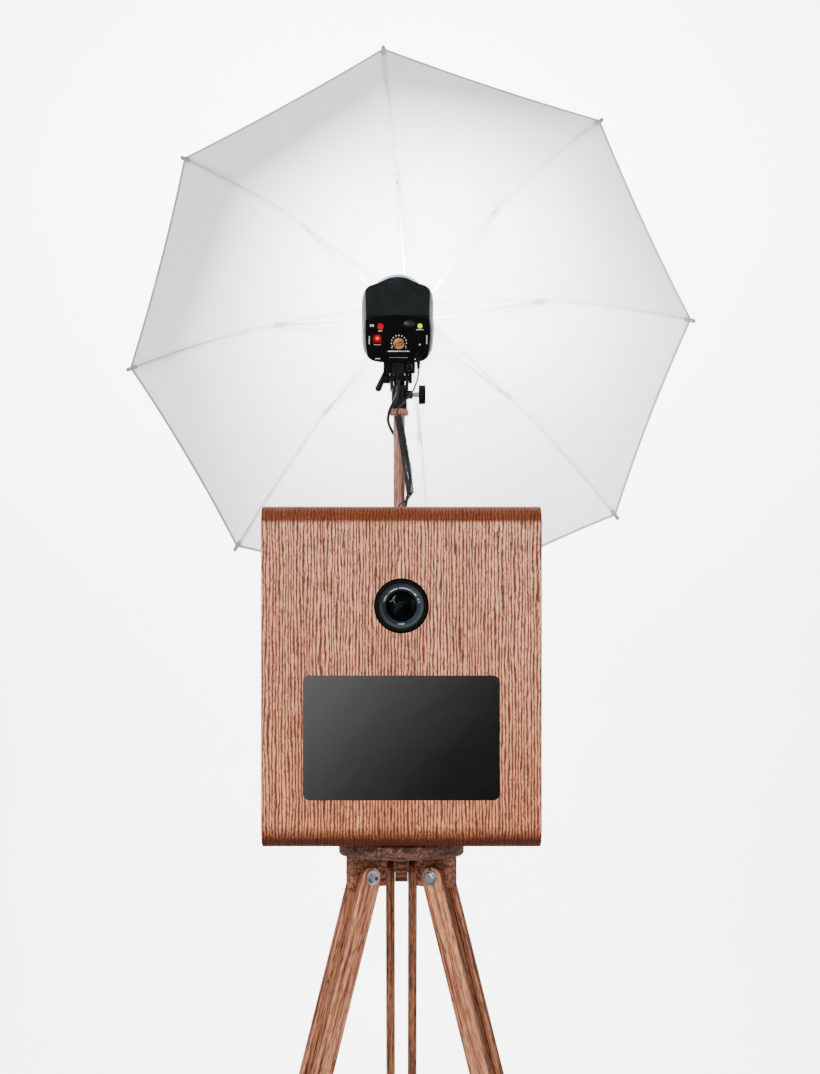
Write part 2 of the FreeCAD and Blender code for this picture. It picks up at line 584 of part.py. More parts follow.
def inside(radius, drop):
    """(radius, depth) of the point inside the cloth's line at a radius, drop away from it."""
    slope_here = cloth_slope(radius)
    long = math.hypot(1, slope_here)
    return radius - drop * slope_here / long, cloth_depth(radius) + drop / long


def rib_direction(number):
    angle = math.radians(90 + UMBRELLA_ROLL - 360 / RIBS * number)
    return V(math.cos(angle), 0, math.sin(angle))


def in_plane(direction, radius, depth):
    return APEX + direction * radius - Y * depth


def curve_through(points):
    curve = Part.BSplineCurve()
    curve.interpolate(points)
    return curve.toShape()


def strip(direction, outer, inner, half_width):
    """A strip between two rows of (radius, depth) points, in one rib's plane."""
    across = direction.cross(Y) * half_width
    tops = [in_plane(direction, *p) - across for p in outer]
    lows = [in_plane(direction, *p) - across for p in inner]
    edges = [curve_through(tops), Part.makeLine(tops[-1], lows[-1]),
             curve_through(lows), Part.makeLine(lows[0], tops[0])]
    face = Part.Face(Part.Wire(Part.__sortEdges__(edges)))
    return face.extrude(across * 2)


def rib(direction):
    steps = 8
    radii = [HINGE_RADIUS - 1 + (UMBRELLA_RADIUS - HINGE_RADIUS + 1) * i / steps for i in range(steps + 1)]
    outer = [inside(r, RIB_DROP - RIB_HALF_HEIGHT) for r in radii]
    inner = [inside(r, RIB_DROP + RIB_HALF_HEIGHT) for r in radii]
    end, before = (V(*inside(r, RIB_DROP), 0) for r in (UMBRELLA_RADIUS, UMBRELLA_RADIUS - 5))
    ahead = (end - before).normalize()
    tip, base = end + ahead * 5, end - ahead * 4
    cap = rod(in_plane(direction, base.x, base.y), in_plane(direction, tip.x, tip.y), 2.25)
    return strip(direction, outer, inner, RIB_HALF_WIDTH).fuse(cap)


def stretcher(direction):
    """A bar from the runner to the rib, with a fork that straddles the rib."""
    start = in_plane(direction, HINGE_RADIUS, RUNNER_DEPTH)
    end = in_plane(direction, *inside(UMBRELLA_RADIUS * JOINT_SHARE, RIB_DROP))
    along = (end - start).normalize()
    across = direction.cross(Y)
    up = along.cross(across)

    def bar(low, high, half_width, half_height):
        corner = start + along * low - across * half_width - up * half_height
        points = [corner, corner + across * 2 * half_width,
                  corner + across * 2 * half_width + up * 2 * half_height, corner + up * 2 * half_height]
        return Part.Face(Part.makePolygon(points + points[:1])).extrude(along * (high - low))

    length = (end - start).Length
    whole = bar(-1, length - 15, 1.2, 1.4).fuse(bar(length - 20, length + 1.5, 2.8, 1.6))
    return whole.cut(bar(length - 14, length + 2, 1.6, 4))


def gore(number):
    """One cloth panel between two ribs: a bent strip cut to a wedge."""
    half = math.pi / RIBS
    middle = math.radians(90 + UMBRELLA_ROLL) - 2 * math.pi / RIBS * (number + 0.5)
    outwards = V(math.cos(middle), 0, math.sin(middle))
    across = outwards.cross(Y)
    steps = 8
    outer, inner = [], []
    for i in range(steps + 1):
        radius = UMBRELLA_RADIUS * i / steps
        outer.append(APEX + outwards * radius * math.cos(half) - Y * cloth_depth(radius))
        r, depth = inside(max(radius, 1.0), CLOTH_THICK)
        inner.append(APEX + outwards * (0 if i == 0 else r * math.cos(half)) - Y * depth)
    width = UMBRELLA_RADIUS * 1.1 * math.tan(half)
    shift = across * -width
    edges = [curve_through([p + shift for p in outer]), Part.makeLine(outer[-1] + shift, inner[-1] + shift),
             curve_through([p + shift for p in inner]), Part.makeLine(inner[0] + shift, outer[0] + shift)]
    sheet = Part.Face(Part.Wire(Part.__sortEdges__(edges))).extrude(across * 2 * width)
    far = UMBRELLA_RADIUS * 1.05
    corners = [APEX + Y * 5, APEX + Y * 5 + outwards * far + across * far * math.tan(half),
               APEX + Y * 5 + outwards * far - across * far * math.tan(half)]
    wedge = Part.Face(Part.makePolygon(corners + corners[:1])).extrude(Y * -(UMBRELLA_DEPTH + 20))
    return sheet.common(wedge)


def make_umbrella():
    shaft = rod(SHAFT + Y * SHAFT_REAR_Y, APEX + Y * 3, SHAFT_RADIUS)
    crown = turned([(0, -12), (7, -12), (7, -10), (12, -10), (12, -7.5), (7, -7.5), (7, -1.5), (0, -1.5)],
                   APEX, Y)
    ferrule = turned([(0, 0.4), (10, 0.4), (9, 2.5), (4.5, 4), (4, 14), (2, 18), (0, 18)], APEX, Y)
    save("umbrella_shaft", tilted(shaft.fuse([crown, ferrule])))
    pivots = APEX - Y * RUNNER_DEPTH
    runner = turned([(SHAFT_RADIUS + PLAY, -18), (7, -18), (8, -16), (8, -8), (12.5, -8), (12.5, -5.5),
                     (7, -5.5), (7, 8), (SHAFT_RADIUS + PLAY, 8)], pivots, Y)
    save("runner", tilted(runner))
    for number in range(RIBS):
        direction = rib_direction(number)
        save(f"rib_{number + 1}", tilted(rib(direction)))
        save(f"stretcher_{number + 1}", tilted(stretcher(direction)))
    hole = rod(APEX - Y * 10, APEX + Y * 10, SHAFT_RADIUS + PLAY)
    gores = [gore(number).cut(hole) for number in range(RIBS)]
    cloth = gores[0].fuse(gores[1:])
    print("canopy solids:", len(cloth.Solids))
    save("canopy", tilted(cloth))


# ---- cords ------------------------------------------------------------------------------------


def lamp_point(x, y, z):
    """A point given about the level tilt pivot, where the tilt takes it."""
    return tilted(Part.Vertex(V(x, y, z))).Point


SYNC_ROUTE = [
    lamp_point(JACK.x, JACK.y - 7.5, JACK.z - 15.2), lamp_point(JACK.x, JACK.y - 7.5, JACK.z - 26),
    V(19.5, -38.0, 1687.5), V(13.5, -32.0, 1677.0), V(5.5, -27.0, 1668.0), V(-2.0, -23.0, 1661.0),
    V(-5.6, -19.2, 1656.5), V(-6.3, -18.2, 1651.0),
]
CURL_ROUTE = [
    V(-4.6, -16.0, 1650.0), V(-1.5, -16.5, 1632.0), V(3.5, -17.5, 1606.0),
    V(7.0, -18.5, 1580.0), V(10.5, -19.0, 1556.0), V(12.5, -19.0, 1539.0),
]
TAIL_ROUTE = [
    V(12.5, -19.0, 1538.8), V(9.0, -21.0, 1532.5), V(2.0, -22.6, 1529.0), V(-3.4, -22.3, 1525.6),
    V(-4.0, -22.0, 1520.5),
]
POWER_ROUTE = [
    lamp_point(INLET.x, INLET.y, INLET.z - 24.2), lamp_point(INLET.x, INLET.y, INLET.z - 38),
    V(-9.5, -20.5, 1670.0), V(-17.0, -14.0, 1656.5), V(-19.5, 0.0, 1643.0), V(-11.0, 12.0, 1627.0),
    V(2.0, 14.0, 1609.0), V(11.5, 6.5, 1588.0), V(13.0, -1.0, 1566.0), V(10.5, -5.5, 1546.0),
    V(7.0, -12.5, 1533.0), V(5.6, -18.2, 1520.6),
]


def cord_tube(name, route, radius):
    """Straight runs joined by tangent arcs, as large as the runs allow, with a round section."""
    runs = [(b - a).Length for a, b in zip(route, route[1:])]
    edges, here, radii = [], route[0], []
    for i in range(1, len(route) - 1):
        back = (route[i - 1] - route[i]).normalize()
        ahead = (route[i + 1] - route[i]).normalize()
        turn = math.pi - back.getAngle(ahead)
        cut = 0.45 * min(runs[i - 1], runs[i])
        bend = cut / math.tan(turn / 2)
        radii.append(round(bend, 1))
        start, end = route[i] + back * cut, route[i] + ahead * cut
        towards = (back + ahead).normalize()
        centre = route[i] + towards * math.hypot(cut, bend)
        middle = centre - towards * bend
        edges += [Part.makeLine(here, start), Part.Arc(start, middle, end).toShape()]
        here = end
    edges.append(Part.makeLine(here, route[-1]))
    path = Part.Wire(edges)
    first = (route[1] - route[0]).normalize()
    circle = Part.Wire([Part.makeCircle(radius, route[0], first)])
    tube = path.makePipeShell([circle], True, False)
    share = tube.Volume / (math.pi * radius ** 2 * path.Length)
    print(f"{name}: length {path.Length:.1f}, radii {radii}, runs {[round(r, 1) for r in runs]}, "
          f"volume share {share:.3f}")
    return tube


def make_cords():
    save("sync_lead", cord_tube("sync_lead", SYNC_ROUTE, SYNC_RADIUS))
    save("curly_cord", cord_tube("curl", CURL_ROUTE, CURL_RADIUS),
         cord_tube("curl's tail", TAIL_ROUTE, SYNC_RADIUS))
    save("power_lead", cord_tube("power_lead", POWER_ROUTE, POWER_RADIUS))


# ---- all --------------------------------------------------------------------------------------

os.makedirs("parts", exist_ok=True)
make_tripod()
make_case()
make_mast()
make_lamp()
make_umbrella()
make_cords()
print(len(SAVED), "sub-parts")
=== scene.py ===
"""The looks of an open-air photo booth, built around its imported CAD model. Metres, +Z up, front at -Y."""
import json
import math
import random

import bpy
import bmesh
from mathutils import Matrix, Vector


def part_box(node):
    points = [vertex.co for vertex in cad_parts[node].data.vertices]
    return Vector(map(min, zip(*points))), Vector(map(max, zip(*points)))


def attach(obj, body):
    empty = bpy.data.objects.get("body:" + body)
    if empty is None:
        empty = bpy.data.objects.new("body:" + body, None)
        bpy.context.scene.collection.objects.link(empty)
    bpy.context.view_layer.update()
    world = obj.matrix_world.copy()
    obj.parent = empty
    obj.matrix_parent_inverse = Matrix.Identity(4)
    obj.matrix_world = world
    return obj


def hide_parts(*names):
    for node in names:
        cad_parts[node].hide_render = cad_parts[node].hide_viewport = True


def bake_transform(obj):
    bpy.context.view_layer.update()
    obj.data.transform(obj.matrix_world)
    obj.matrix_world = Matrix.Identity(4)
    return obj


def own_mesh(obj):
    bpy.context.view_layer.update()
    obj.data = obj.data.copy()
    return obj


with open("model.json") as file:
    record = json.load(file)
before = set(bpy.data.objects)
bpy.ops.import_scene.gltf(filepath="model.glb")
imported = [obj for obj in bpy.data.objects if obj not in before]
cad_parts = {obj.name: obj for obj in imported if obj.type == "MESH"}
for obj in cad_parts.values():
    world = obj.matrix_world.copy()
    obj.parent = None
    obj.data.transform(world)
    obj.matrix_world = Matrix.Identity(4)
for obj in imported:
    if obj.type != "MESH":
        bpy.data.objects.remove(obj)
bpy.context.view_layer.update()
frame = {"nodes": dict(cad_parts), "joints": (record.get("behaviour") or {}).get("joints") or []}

MM = 0.001
FULL_TURN = 2 * math.pi
X_AXIS, Y_AXIS, FORWARD = Vector((1, 0, 0)), Vector((0, 1, 0)), Vector((0, -1, 0))
SMOOTH_BELOW = math.radians(40)     # edges that turn by more than this stay sharp
JOINTS = {joint["name"]: joint for joint in frame["joints"]}
LEGS = ("leg_left", "leg_right", "leg_rear")

# The lamp's own frame: x to the right, y along the umbrella's shaft, z up, about the tilt pivot.
PIVOT = Vector(JOINTS["lamp_tilt"]["pos_m"])
ALONG = Vector(JOINTS["umbrella_slide"]["axis"]).normalized()
LAMP_UP = X_AXIS.cross(ALONG)
LAMP_FRAME = Matrix.Translation(PIVOT) @ Matrix((X_AXIS, ALONG, LAMP_UP)).transposed().to_4x4()
LAMP_AXIS = Vector((-2, 0, 82.5)) * MM
PANEL_Y = -35.5 * MM                # the control panel's rear face
BOLT_HEAD_REACH = 32.6 * MM         # from a leg bolt's pivot to the flat of its head
LENS_AXIS = Vector(JOINTS["zoom_ring_turn"]["pos_m"])

# Umbrella, in the lamp's frame.
RIBS = 8
APEX = Vector((14, 344.4, 22.7)) * MM
UMBRELLA_RADIUS = 405 * MM
UMBRELLA_DEPTH = 240 * MM
UMBRELLA_POWER = 2.5                # the cloth's depth grows with this power of the radius
UMBRELLA_ROLL = math.radians(5)
RIB_DROP = 4 * MM                   # from the cloth's line to a rib's middle
JOINT_SHARE, CLIP_SHARE = 0.515, 0.62   # places along a rib, as shares of the umbrella's radius
EDGE_HOLLOW = 0.009                 # how far the free edge curves in between two ribs, as a share
CLOTH_STEPS = 30
CLOTH_THICK = 0.5 * MM
CROWN_HOLE = 4.6 * MM
SEAM_WIDE, SEAM_SHIFT = 2.2 * MM, 3.2 * MM

# Surfaces.
STRIPE_PITCH = 4.3 * MM             # the veneer's pinstripes
SHELL_BEND = 28 * MM                # radius of the front shell's rounded edges
PLY_PERIOD = 2.86 * MM
WEAVE_PITCH = 0.8 * MM

# Cords.
SYNC_RADIUS, WIRE_RADIUS, POWER_RADIUS = 1.2 * MM, 1.15 * MM, 2.2 * MM
CURL_TURNS, CURL_RADIUS = 45, 6 * MM
LEAST_STEP = 0.3 * MM

# Camera.
CAMERA_PLACE = (0, -2.510, 1.293)
CAMERA_LENS, SENSOR_WIDTH = 60.5, 36
CAMERA_SHIFT = (0.008, 0.127)


# ---- camera ----

def make_camera():
    data = bpy.data.cameras.new("camera")
    camera = bpy.data.objects.new("camera", data)
    bpy.context.scene.collection.objects.link(camera)
    camera.location = CAMERA_PLACE
    camera.rotation_euler = (math.radians(90), 0, 0)
    data.lens, data.sensor_width = CAMERA_LENS, SENSOR_WIDTH
    data.shift_x, data.shift_y = CAMERA_SHIFT
    bpy.context.scene.camera = camera


make_camera()


# ---- meshes ----

def link(name, mesh):
    piece = bpy.data.objects.new(name, mesh)
    bpy.context.scene.collection.objects.link(piece)
    return piece


def finished(name, mesh, material, matrix=None):
    """A piece from a mesh: moved into place, with smooth shading and its material, a key of MATERIALS."""
    if matrix is not None:
        mesh.transform(matrix)
    mesh.shade_smooth()
    mesh.set_sharp_from_angle(angle=SMOOTH_BELOW)
    mesh.materials.append(MATERIALS[material])
    return link(name, mesh)


def mesh_piece(name, points, faces, material, matrix=None):
    """A mesh object from points and faces, with its outward side out."""
    mesh = bpy.data.meshes.new(name)
    mesh.from_pydata([tuple(p) for p in points], [], faces)
    shape = bmesh.new()
    shape.from_mesh(mesh)
    bmesh.ops.remove_doubles(shape, verts=shape.verts, dist=1e-7)
    bmesh.ops.recalc_face_normals(shape, faces=shape.faces)
    shape.to_mesh(mesh)
    shape.free()
    return finished(name, mesh, material, matrix)


def grid_faces(rows, columns, closed_columns=True, closed_rows=False):
    """Faces over points that are stored row by row."""
    faces = []
    for i in range(rows if closed_rows else rows - 1):
        for j in range(columns if closed_columns else columns - 1):
            a, b = i * columns, (i + 1) % rows * columns
            k = (j + 1) % columns
            faces.append((a + j, a + k, b + k, b + j))
    return faces


def axis_matrix(origin, axis):
    """Takes z to an axis and the origin to a point."""
    return Matrix.Translation(origin) @ Vector(axis).to_track_quat("Z", "Y").to_matrix().to_4x4()


def turned(name, outline, origin, axis, material, sides=48):
    """A solid of revolution: outline has (radius, height) corners in mm, closed on itself or on the axis."""
    points = []
    for radius, height in outline:
        for j in range(sides):
            turn = FULL_TURN * j / sides
            points.append((radius * MM * math.cos(turn), radius * MM * math.sin(turn), height * MM))
    faces = grid_faces(len(outline), sides, closed_rows=outline[0][0] > 0)
    return mesh_piece(name, points, faces, material, axis_matrix(origin, axis))


def tube(name, points, radius, material, sides=12):
    """A round tube along a line of points, with flat ends."""
    made = []
    tangent = (points[1] - points[0]).normalized()
    side = tangent.orthogonal().normalized()
    for i, here in enumerate(points):
        ahead = points[min(i + 1, len(points) - 1)] - points[max(i - 1, 0)]
        side = (tangent.rotation_difference(ahead) @ side).normalized()
        tangent = ahead.normalized()
        up = tangent.cross(side)
        for j in range(sides):
            angle = FULL_TURN * j / sides
            made.append(here + side * math.cos(angle) * radius + up * math.sin(angle) * radius)
    last = (len(points) - 1) * sides
    faces = grid_faces(len(points), sides)
    faces += [tuple(reversed(range(sides))), tuple(range(last, last + sides))]
    return mesh_piece(name, made, faces, material)


def soft_box(name, low, high, bevel, material, matrix, segments=3):
    """A block with rounded edges, between two corners in mm."""
    shape = bmesh.new()
    bmesh.ops.create_cube(shape, size=1)
    for vertex in shape.verts:
        for i in range(3):
            vertex.co[i] = (low[i] + (vertex.co[i] + 0.5) * (high[i] - low[i])) * MM
    bmesh.ops.bevel(shape, geom=shape.edges[:], offset=bevel * MM, segments=segments, affect="EDGES",
                    profile=0.5)
    mesh = bpy.data.meshes.new(name)
    shape.to_mesh(mesh)
    shape.free()
    return finished(name, mesh, material, matrix)


def merged(name, pieces):
    """Several mesh objects as one."""
    shape = bmesh.new()
    for piece in pieces:
        shape.from_mesh(piece.data)
    mesh = bpy.data.meshes.new(name)
    shape.to_mesh(mesh)
    shape.free()
    mesh.materials.append(pieces[0].data.materials[0])
    for piece in pieces:
        bpy.data.objects.remove(piece)
    return link(name, mesh)


def lamp_point(x, y, z):
    """A point in millimetres in the lamp's frame, in metres in the row frame."""
    return LAMP_FRAME @ (Vector((x, y, z)) * MM)


def lamp_way(direction):
    """A direction in the lamp's frame, in the row frame."""
    return LAMP_FRAME.to_3x3() @ direction


# ---- materials ----

class Shader:
    """A node material around one Principled shader."""

    def __init__(self, name, **sockets):
        self.material = bpy.data.materials.new(name)
        self.material.use_nodes = True
        self.tree = self.material.node_tree
        self.surface = self.tree.nodes["Principled BSDF"]
        self.output = self.tree.nodes["Material Output"]
        self.place = self.add("ShaderNodeTexCoord").outputs["Object"]
        for socket, value in sockets.items():
            self.surface.inputs[socket.replace("_", " ")].default_value = value

    def add(self, kind, inputs=None, **settings):
        """A node with its settings made and its inputs fed by values or by other nodes."""
        node = self.tree.nodes.new(kind)
        for key, value in settings.items():
            setattr(node, key, value)
        for socket, value in (inputs or {}).items():
            self.feed(node.inputs[socket], value)
        return node

    def connect(self, source, target):
        self.tree.links.new(source, target)

    def feed(self, socket, value):
        if isinstance(value, bpy.types.NodeSocket):
            self.connect(value, socket)
        else:
            socket.default_value = value

    def vector(self, operation, a, b, output="Vector"):
        return self.add("ShaderNodeVectorMath", {0: a, 1: b}, operation=operation).outputs[output]

    def along(self, direction, across_scale, along_scale):
        """The place in a frame whose z runs along a direction."""
        direction = Vector(direction).normalized()
        side = direction.orthogonal().normalized()
        axes = (side * across_scale, direction.cross(side) * across_scale, direction * along_scale)
        parts = {i: self.vector("DOT_PRODUCT", self.place, axis, "Value") for i, axis in enumerate(axes)}
        return self.add("ShaderNodeCombineXYZ", parts).outputs["Vector"]

    def noise(self, where, scale=1.0, detail=4.0, roughness=0.6, distortion=0.0):
        """Noise over a vector, or over the place with each axis scaled when three scales are given."""
        if isinstance(where, tuple):
            where = self.vector("MULTIPLY", self.place, where)
        inputs = {"Vector": where, "Scale": scale, "Detail": detail, "Roughness": roughness,
                  "Distortion": distortion}
        return self.add("ShaderNodeTexNoise", inputs).outputs["Fac"]

    def ramp(self, value, *stops):
        """Colour or grey stops, as (place, value)."""
        node = self.add("ShaderNodeValToRGB", {"Fac": value})
        elements = node.color_ramp.elements
        while len(elements) < len(stops):
            elements.new(0.5)
        for element, (place, colour) in zip(elements, stops):
            element.position = place
            element.color = (*colour, 1) if hasattr(colour, "__len__") else (colour, colour, colour, 1)
        return node.outputs["Color"]

    def mix(self, factor, a, b, blend="MIX"):
        node = self.add("ShaderNodeMix", {"Factor": factor}, data_type="RGBA", blend_type=blend)
        colour_inputs = [s for s in node.inputs if s.type == "RGBA"]
        for socket, value in zip(colour_inputs, (a, b)):
            self.feed(socket, (*value, 1) if isinstance(value, tuple) else value)
        return [s for s in node.outputs if s.type == "RGBA"][0]

    def tinted(self, a, b):
        return self.mix(1.0, a, b, "MULTIPLY")

    def calculate(self, operation, a, b=0.0):
        return self.add("ShaderNodeMath", {0: a, 1: b}, operation=operation).outputs["Value"]

    def times(self, a, b):
        return self.calculate("MULTIPLY", a, b)

    def plus(self, a, b):
        return self.calculate("ADD", a, b)

    def minus(self, a, b):
        return self.calculate("SUBTRACT", a, b)

    def spread(self, value, low, high):
        """A value made to run from 0 at low to 1 at high."""
        node = self.add("ShaderNodeMapRange", {"Value": value, "From Min": low, "From Max": high})
        return node.outputs["Result"]

    def parts(self, vector):
        node = self.add("ShaderNodeSeparateXYZ", {"Vector": vector})
        return node.outputs["X"], node.outputs["Y"], node.outputs["Z"]

    def normal(self):
        """The parts of the outward direction."""
        return self.parts(self.add("ShaderNodeTexCoord").outputs["Normal"])

    def bump(self, height, strength, distance):
        node = self.add("ShaderNodeBump", {"Strength": strength, "Distance": distance, "Height": height})
        self.connect(node.outputs["Normal"], self.surface.inputs["Normal"])

    def mix_surfaces(self, factor, first, second):
        mixer = self.add("ShaderNodeMixShader", {"Fac": factor, 1: first, 2: second})
        self.connect(mixer.outputs["Shader"], self.output.inputs["Surface"])

    def colour(self, value):
        self.connect(value, self.surface.inputs["Base Color"])

    def roughness(self, value, low, high):
        """Roughness from low to high, as a value goes from 0 to 1."""
        node = self.add("ShaderNodeMapRange", {"Value": value, "To Min": low, "To Max": high})
        self.connect(node.outputs["Result"], self.surface.inputs["Roughness"])


def wood_parts(s, coarse, fine, light, middle, dark, pore_dark):
    """Streaks of early and late wood with open pores; returns the colour, the pores and the streaks."""
    streak = s.noise(coarse, detail=3.0, roughness=0.55, distortion=0.25)
    streaks = s.ramp(streak, (0.34, dark), (0.48, middle), (0.62, light))
    pore = s.noise(fine, detail=2.0, roughness=0.5, distortion=0.15)
    pores = s.ramp(pore, (0.50, 0.0), (0.62, 1.0))
    cloud = s.noise((9, 9, 5), detail=3.0)
    tone = s.ramp(cloud, (0.3, (0.86, 0.84, 0.83)), (0.7, (1.08, 1.07, 1.06)))
    colour = s.mix(s.times(pores, 0.75), s.tinted(streaks, tone), pore_dark)
    return colour, pores, streak


def case_grain(s):
    """Fine upright stripes that sway a little, broken up by fibres; returns the grain and its open pores."""
    sway = s.times(s.noise((60, 60, 5), detail=2.0), 0.010)
    wobble = s.times(s.noise((170, 170, 26), detail=2.0), 0.0045)
    moved = s.plus(s.parts(s.place)[0], s.plus(sway, wobble))
    wave = s.calculate("SINE", s.times(moved, FULL_TURN / STRIPE_PITCH))
    strength = s.noise((230, 230, 75), detail=3.0, roughness=0.7)
    stripe = s.times(s.times(wave, strength), 0.34)
    fibre = s.noise((620, 620, 62), detail=3.0, roughness=0.65)
    pore = s.noise((760, 760, 190), detail=2.0, roughness=0.6)
    pores = s.ramp(s.minus(pore, s.times(stripe, 0.5)), (0.50, 0.0), (0.585, 1.0))
    return s.plus(stripe, fibre), pores


def case_colour(s, grain, pores, share):
    """Streaks under broad tones, a row of curled figure and dark pores; share runs up the case."""
    streaks = s.ramp(grain, (0.36, (0.13, 0.042, 0.030)), (0.49, (0.47, 0.195, 0.115)),
                     (0.64, (0.74, 0.355, 0.20)))
    band = s.noise((20, 20, 2), detail=3.0)
    broad = s.ramp(band, (0.35, (0.86, 0.80, 0.77)), (0.65, (1.06, 1.08, 1.10)))
    warm = s.ramp(share, (0.0, (0.92, 0.74, 0.56)), (0.55, (1.0, 0.97, 0.95)), (1.0, (1.0, 1.03, 1.06)))
    row = s.ramp(share, (0.735, 0.0), (0.765, 1.0), (0.80, 0.0))
    patch = s.ramp(s.noise((17, 17, 9), detail=1.0), (0.47, 0.0), (0.57, 1.0))
    swirl = s.noise((190, 190, 330), detail=3.0, distortion=1.4)
    curl = s.ramp(swirl, (0.45, 0.0), (0.55, 1.0))
    figure = s.times(s.times(row, patch), s.times(curl, 0.75))
    marked = s.calculate("MAXIMUM", s.times(pores, 0.74), figure)
    return s.mix(marked, s.tinted(s.tinted(streaks, broad), warm), (0.065, 0.022, 0.018))


def case_bend_shade(s, colour, up):
    """The colour with painted shade where the veneer bends over the top and under the bottom."""
    # Painted shade: darker copies of the veneer over the top bend and under the bottom bend.
    over = s.ramp(up, (0.10, 0.0), (0.28, 1.0))
    under = s.ramp(s.times(up, -1.0), (0.02, 0.0), (0.20, 0.45), (0.62, 1.0))
    upper = s.mix(0.45, s.tinted(colour, (0.31, 0.165, 0.078)), (0.108, 0.026, 0.0085))
    lower = s.mix(0.50, s.tinted(colour, (0.18, 0.082, 0.029)), (0.066, 0.013, 0.0024))
    return s.mix(under, s.mix(over, colour, upper), lower)


def ply_layers(s, low, high):
    """Plies that follow the shell round its bent edges, as its cut sides show them."""
    y, z = s.parts(s.place)[1:]
    from_end = s.calculate("MINIMUM", s.minus(z, low.z), s.minus(high.z, z))
    a = s.calculate("MAXIMUM", s.minus(SHELL_BEND, s.minus(y, low.y)), 0.0)
    b = s.calculate("MAXIMUM", s.minus(SHELL_BEND, from_end), 0.0)
    reach = s.calculate("SQRT", s.plus(s.times(a, a), s.times(b, b)))
    wave = s.calculate("SINE", s.times(s.minus(SHELL_BEND, reach), FULL_TURN / PLY_PERIOD))
    layers = s.ramp(s.plus(s.times(wave, 0.5), 0.5), (0.30, (0.15, 0.06, 0.035)), (0.55, (0.52, 0.30, 0.18)))
    fibres = s.ramp(s.noise((60, 300, 300)), (0.3, (0.5, 0.42, 0.36)), (0.7, (1.0, 0.96, 0.92)))
    return s.mix(0.8, layers, fibres, "MULTIPLY")


def make_case_wood():
    """Veneer with pinstripe grain and open pores, painted shade over the bent edges, with ply on the cut
    sides.
    """
    s = Shader("case_veneer", Specular_IOR_Level=0.12)
    low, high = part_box("front_shell")
    grain, pores = case_grain(s)
    colour = case_colour(s, grain, pores, s.spread(s.parts(s.place)[2], low.z, high.z))
    right, _, up = s.normal()
    cut_side = s.ramp(s.calculate("ABSOLUTE", right), (0.80, 0.0), (0.90, 1.0))
    s.colour(s.mix(cut_side, case_bend_shade(s, colour, up), ply_layers(s, low, high)))
    s.roughness(pores, 0.50, 0.72)
    s.bump(s.minus(s.times(grain, 0.7), pores), 0.5, 0.22 * MM)
    return s.material


def make_wood(name, direction, light, middle, dark, pore_dark, scale=1.0, sides=1.0):
    """Wood with its grain along a direction; sides paints shade on what does not face the front."""
    s = Shader(name, Specular_IOR_Level=0.14)
    colour, pores, streak = wood_parts(
        s, s.along(direction, 300 * scale, 9), s.along(direction, 800 * scale, 60),
        light, middle, dark, pore_dark)
    # Painted shade: faces that turn away from the front are darkened, down to sides times the colour.
    ahead = s.times(s.normal()[1], -1.0)
    stain_and_shade = s.ramp(ahead, (0.30, (sides, sides * 0.9, sides * 0.82)), (0.90, (1.0, 1.0, 1.0)))
    s.colour(s.tinted(colour, stain_and_shade))
    s.roughness(pores, 0.38, 0.6)
    s.bump(s.minus(s.times(streak, 0.3), pores), 0.45, 0.2 * MM)
    return s.material


def make_ray_wood():
    """Dark oak with pale ray flecks across the grain."""
    s = Shader("head_oak", Specular_IOR_Level=0.12)
    colour, pores, streak = wood_parts(
        s, (14, 260, 260), (50, 700, 700),
        (0.15, 0.067, 0.049), (0.085, 0.036, 0.027), (0.035, 0.014, 0.011), (0.015, 0.006, 0.005))
    fleck = s.noise(s.along((0.8, 0.2, 1.0), 520, 45), detail=2.0)
    flecks = s.ramp(fleck, (0.58, 0.0), (0.66, 1.0))
    s.colour(s.mix(s.times(flecks, 0.55), colour, (0.36, 0.19, 0.145)))
    s.roughness(pores, 0.42, 0.6)
    s.bump(s.minus(streak, pores), 0.4, 0.2 * MM)
    return s.material


def make_plastic(name, colour, rough=0.42, grain=1500, bump=0.25, specular=0.10, tone=0.35):
    """Moulded plastic or powder coat: fine texture, cloudy gloss and a slight change of tone."""
    s = Shader(name, Specular_IOR_Level=specular)
    fine = s.noise(s.place, grain, 2.0)
    cloud = s.noise(s.place, 38, 4.0)
    darker = tuple(c * (1 - tone) for c in colour)
    brighter = tuple(min(1.0, c * (1 + tone)) for c in colour)
    s.colour(s.ramp(cloud, (0.3, darker), (0.7, brighter)))
    s.roughness(s.plus(s.times(fine, 0.5), s.times(cloud, 0.5)), rough - 0.1, rough + 0.12)
    s.bump(fine, bump, 0.08 * MM)
    return s.material


def make_metal(name, colour, rough=0.3, brushed=(1, 1, 1)):
    """Metal with fine lines, longer along an axis whose share in brushed is small."""
    s = Shader(name, Metallic=1.0)
    lines = s.noise(tuple(900 * b for b in brushed), 1.0, 3.0)
    stain_and_shade = s.noise(s.place, 120, 4.0)
    s.colour(s.ramp(stain_and_shade, (0.3, tuple(c * 0.72 for c in colour)), (0.7, colour)))
    s.roughness(s.plus(s.times(lines, 0.6), s.times(stain_and_shade, 0.4)), rough - 0.1, rough + 0.2)
    s.bump(lines, 0.15, 0.05 * MM)
    return s.material


def make_copper():
    """Mottled copper finish with dark flecks."""
    s = Shader("copper_knob", Metallic=0.75)
    fleck = s.noise(s.place, 330, 3.0, 0.6)
    s.colour(s.ramp(fleck, (0.38, (0.10, 0.028, 0.008)), (0.50, (0.52, 0.20, 0.07)),
                    (0.66, (0.90, 0.52, 0.25))))
    s.roughness(fleck, 0.5, 0.28)
    s.bump(fleck, 0.5, 0.25 * MM)
    return s.material


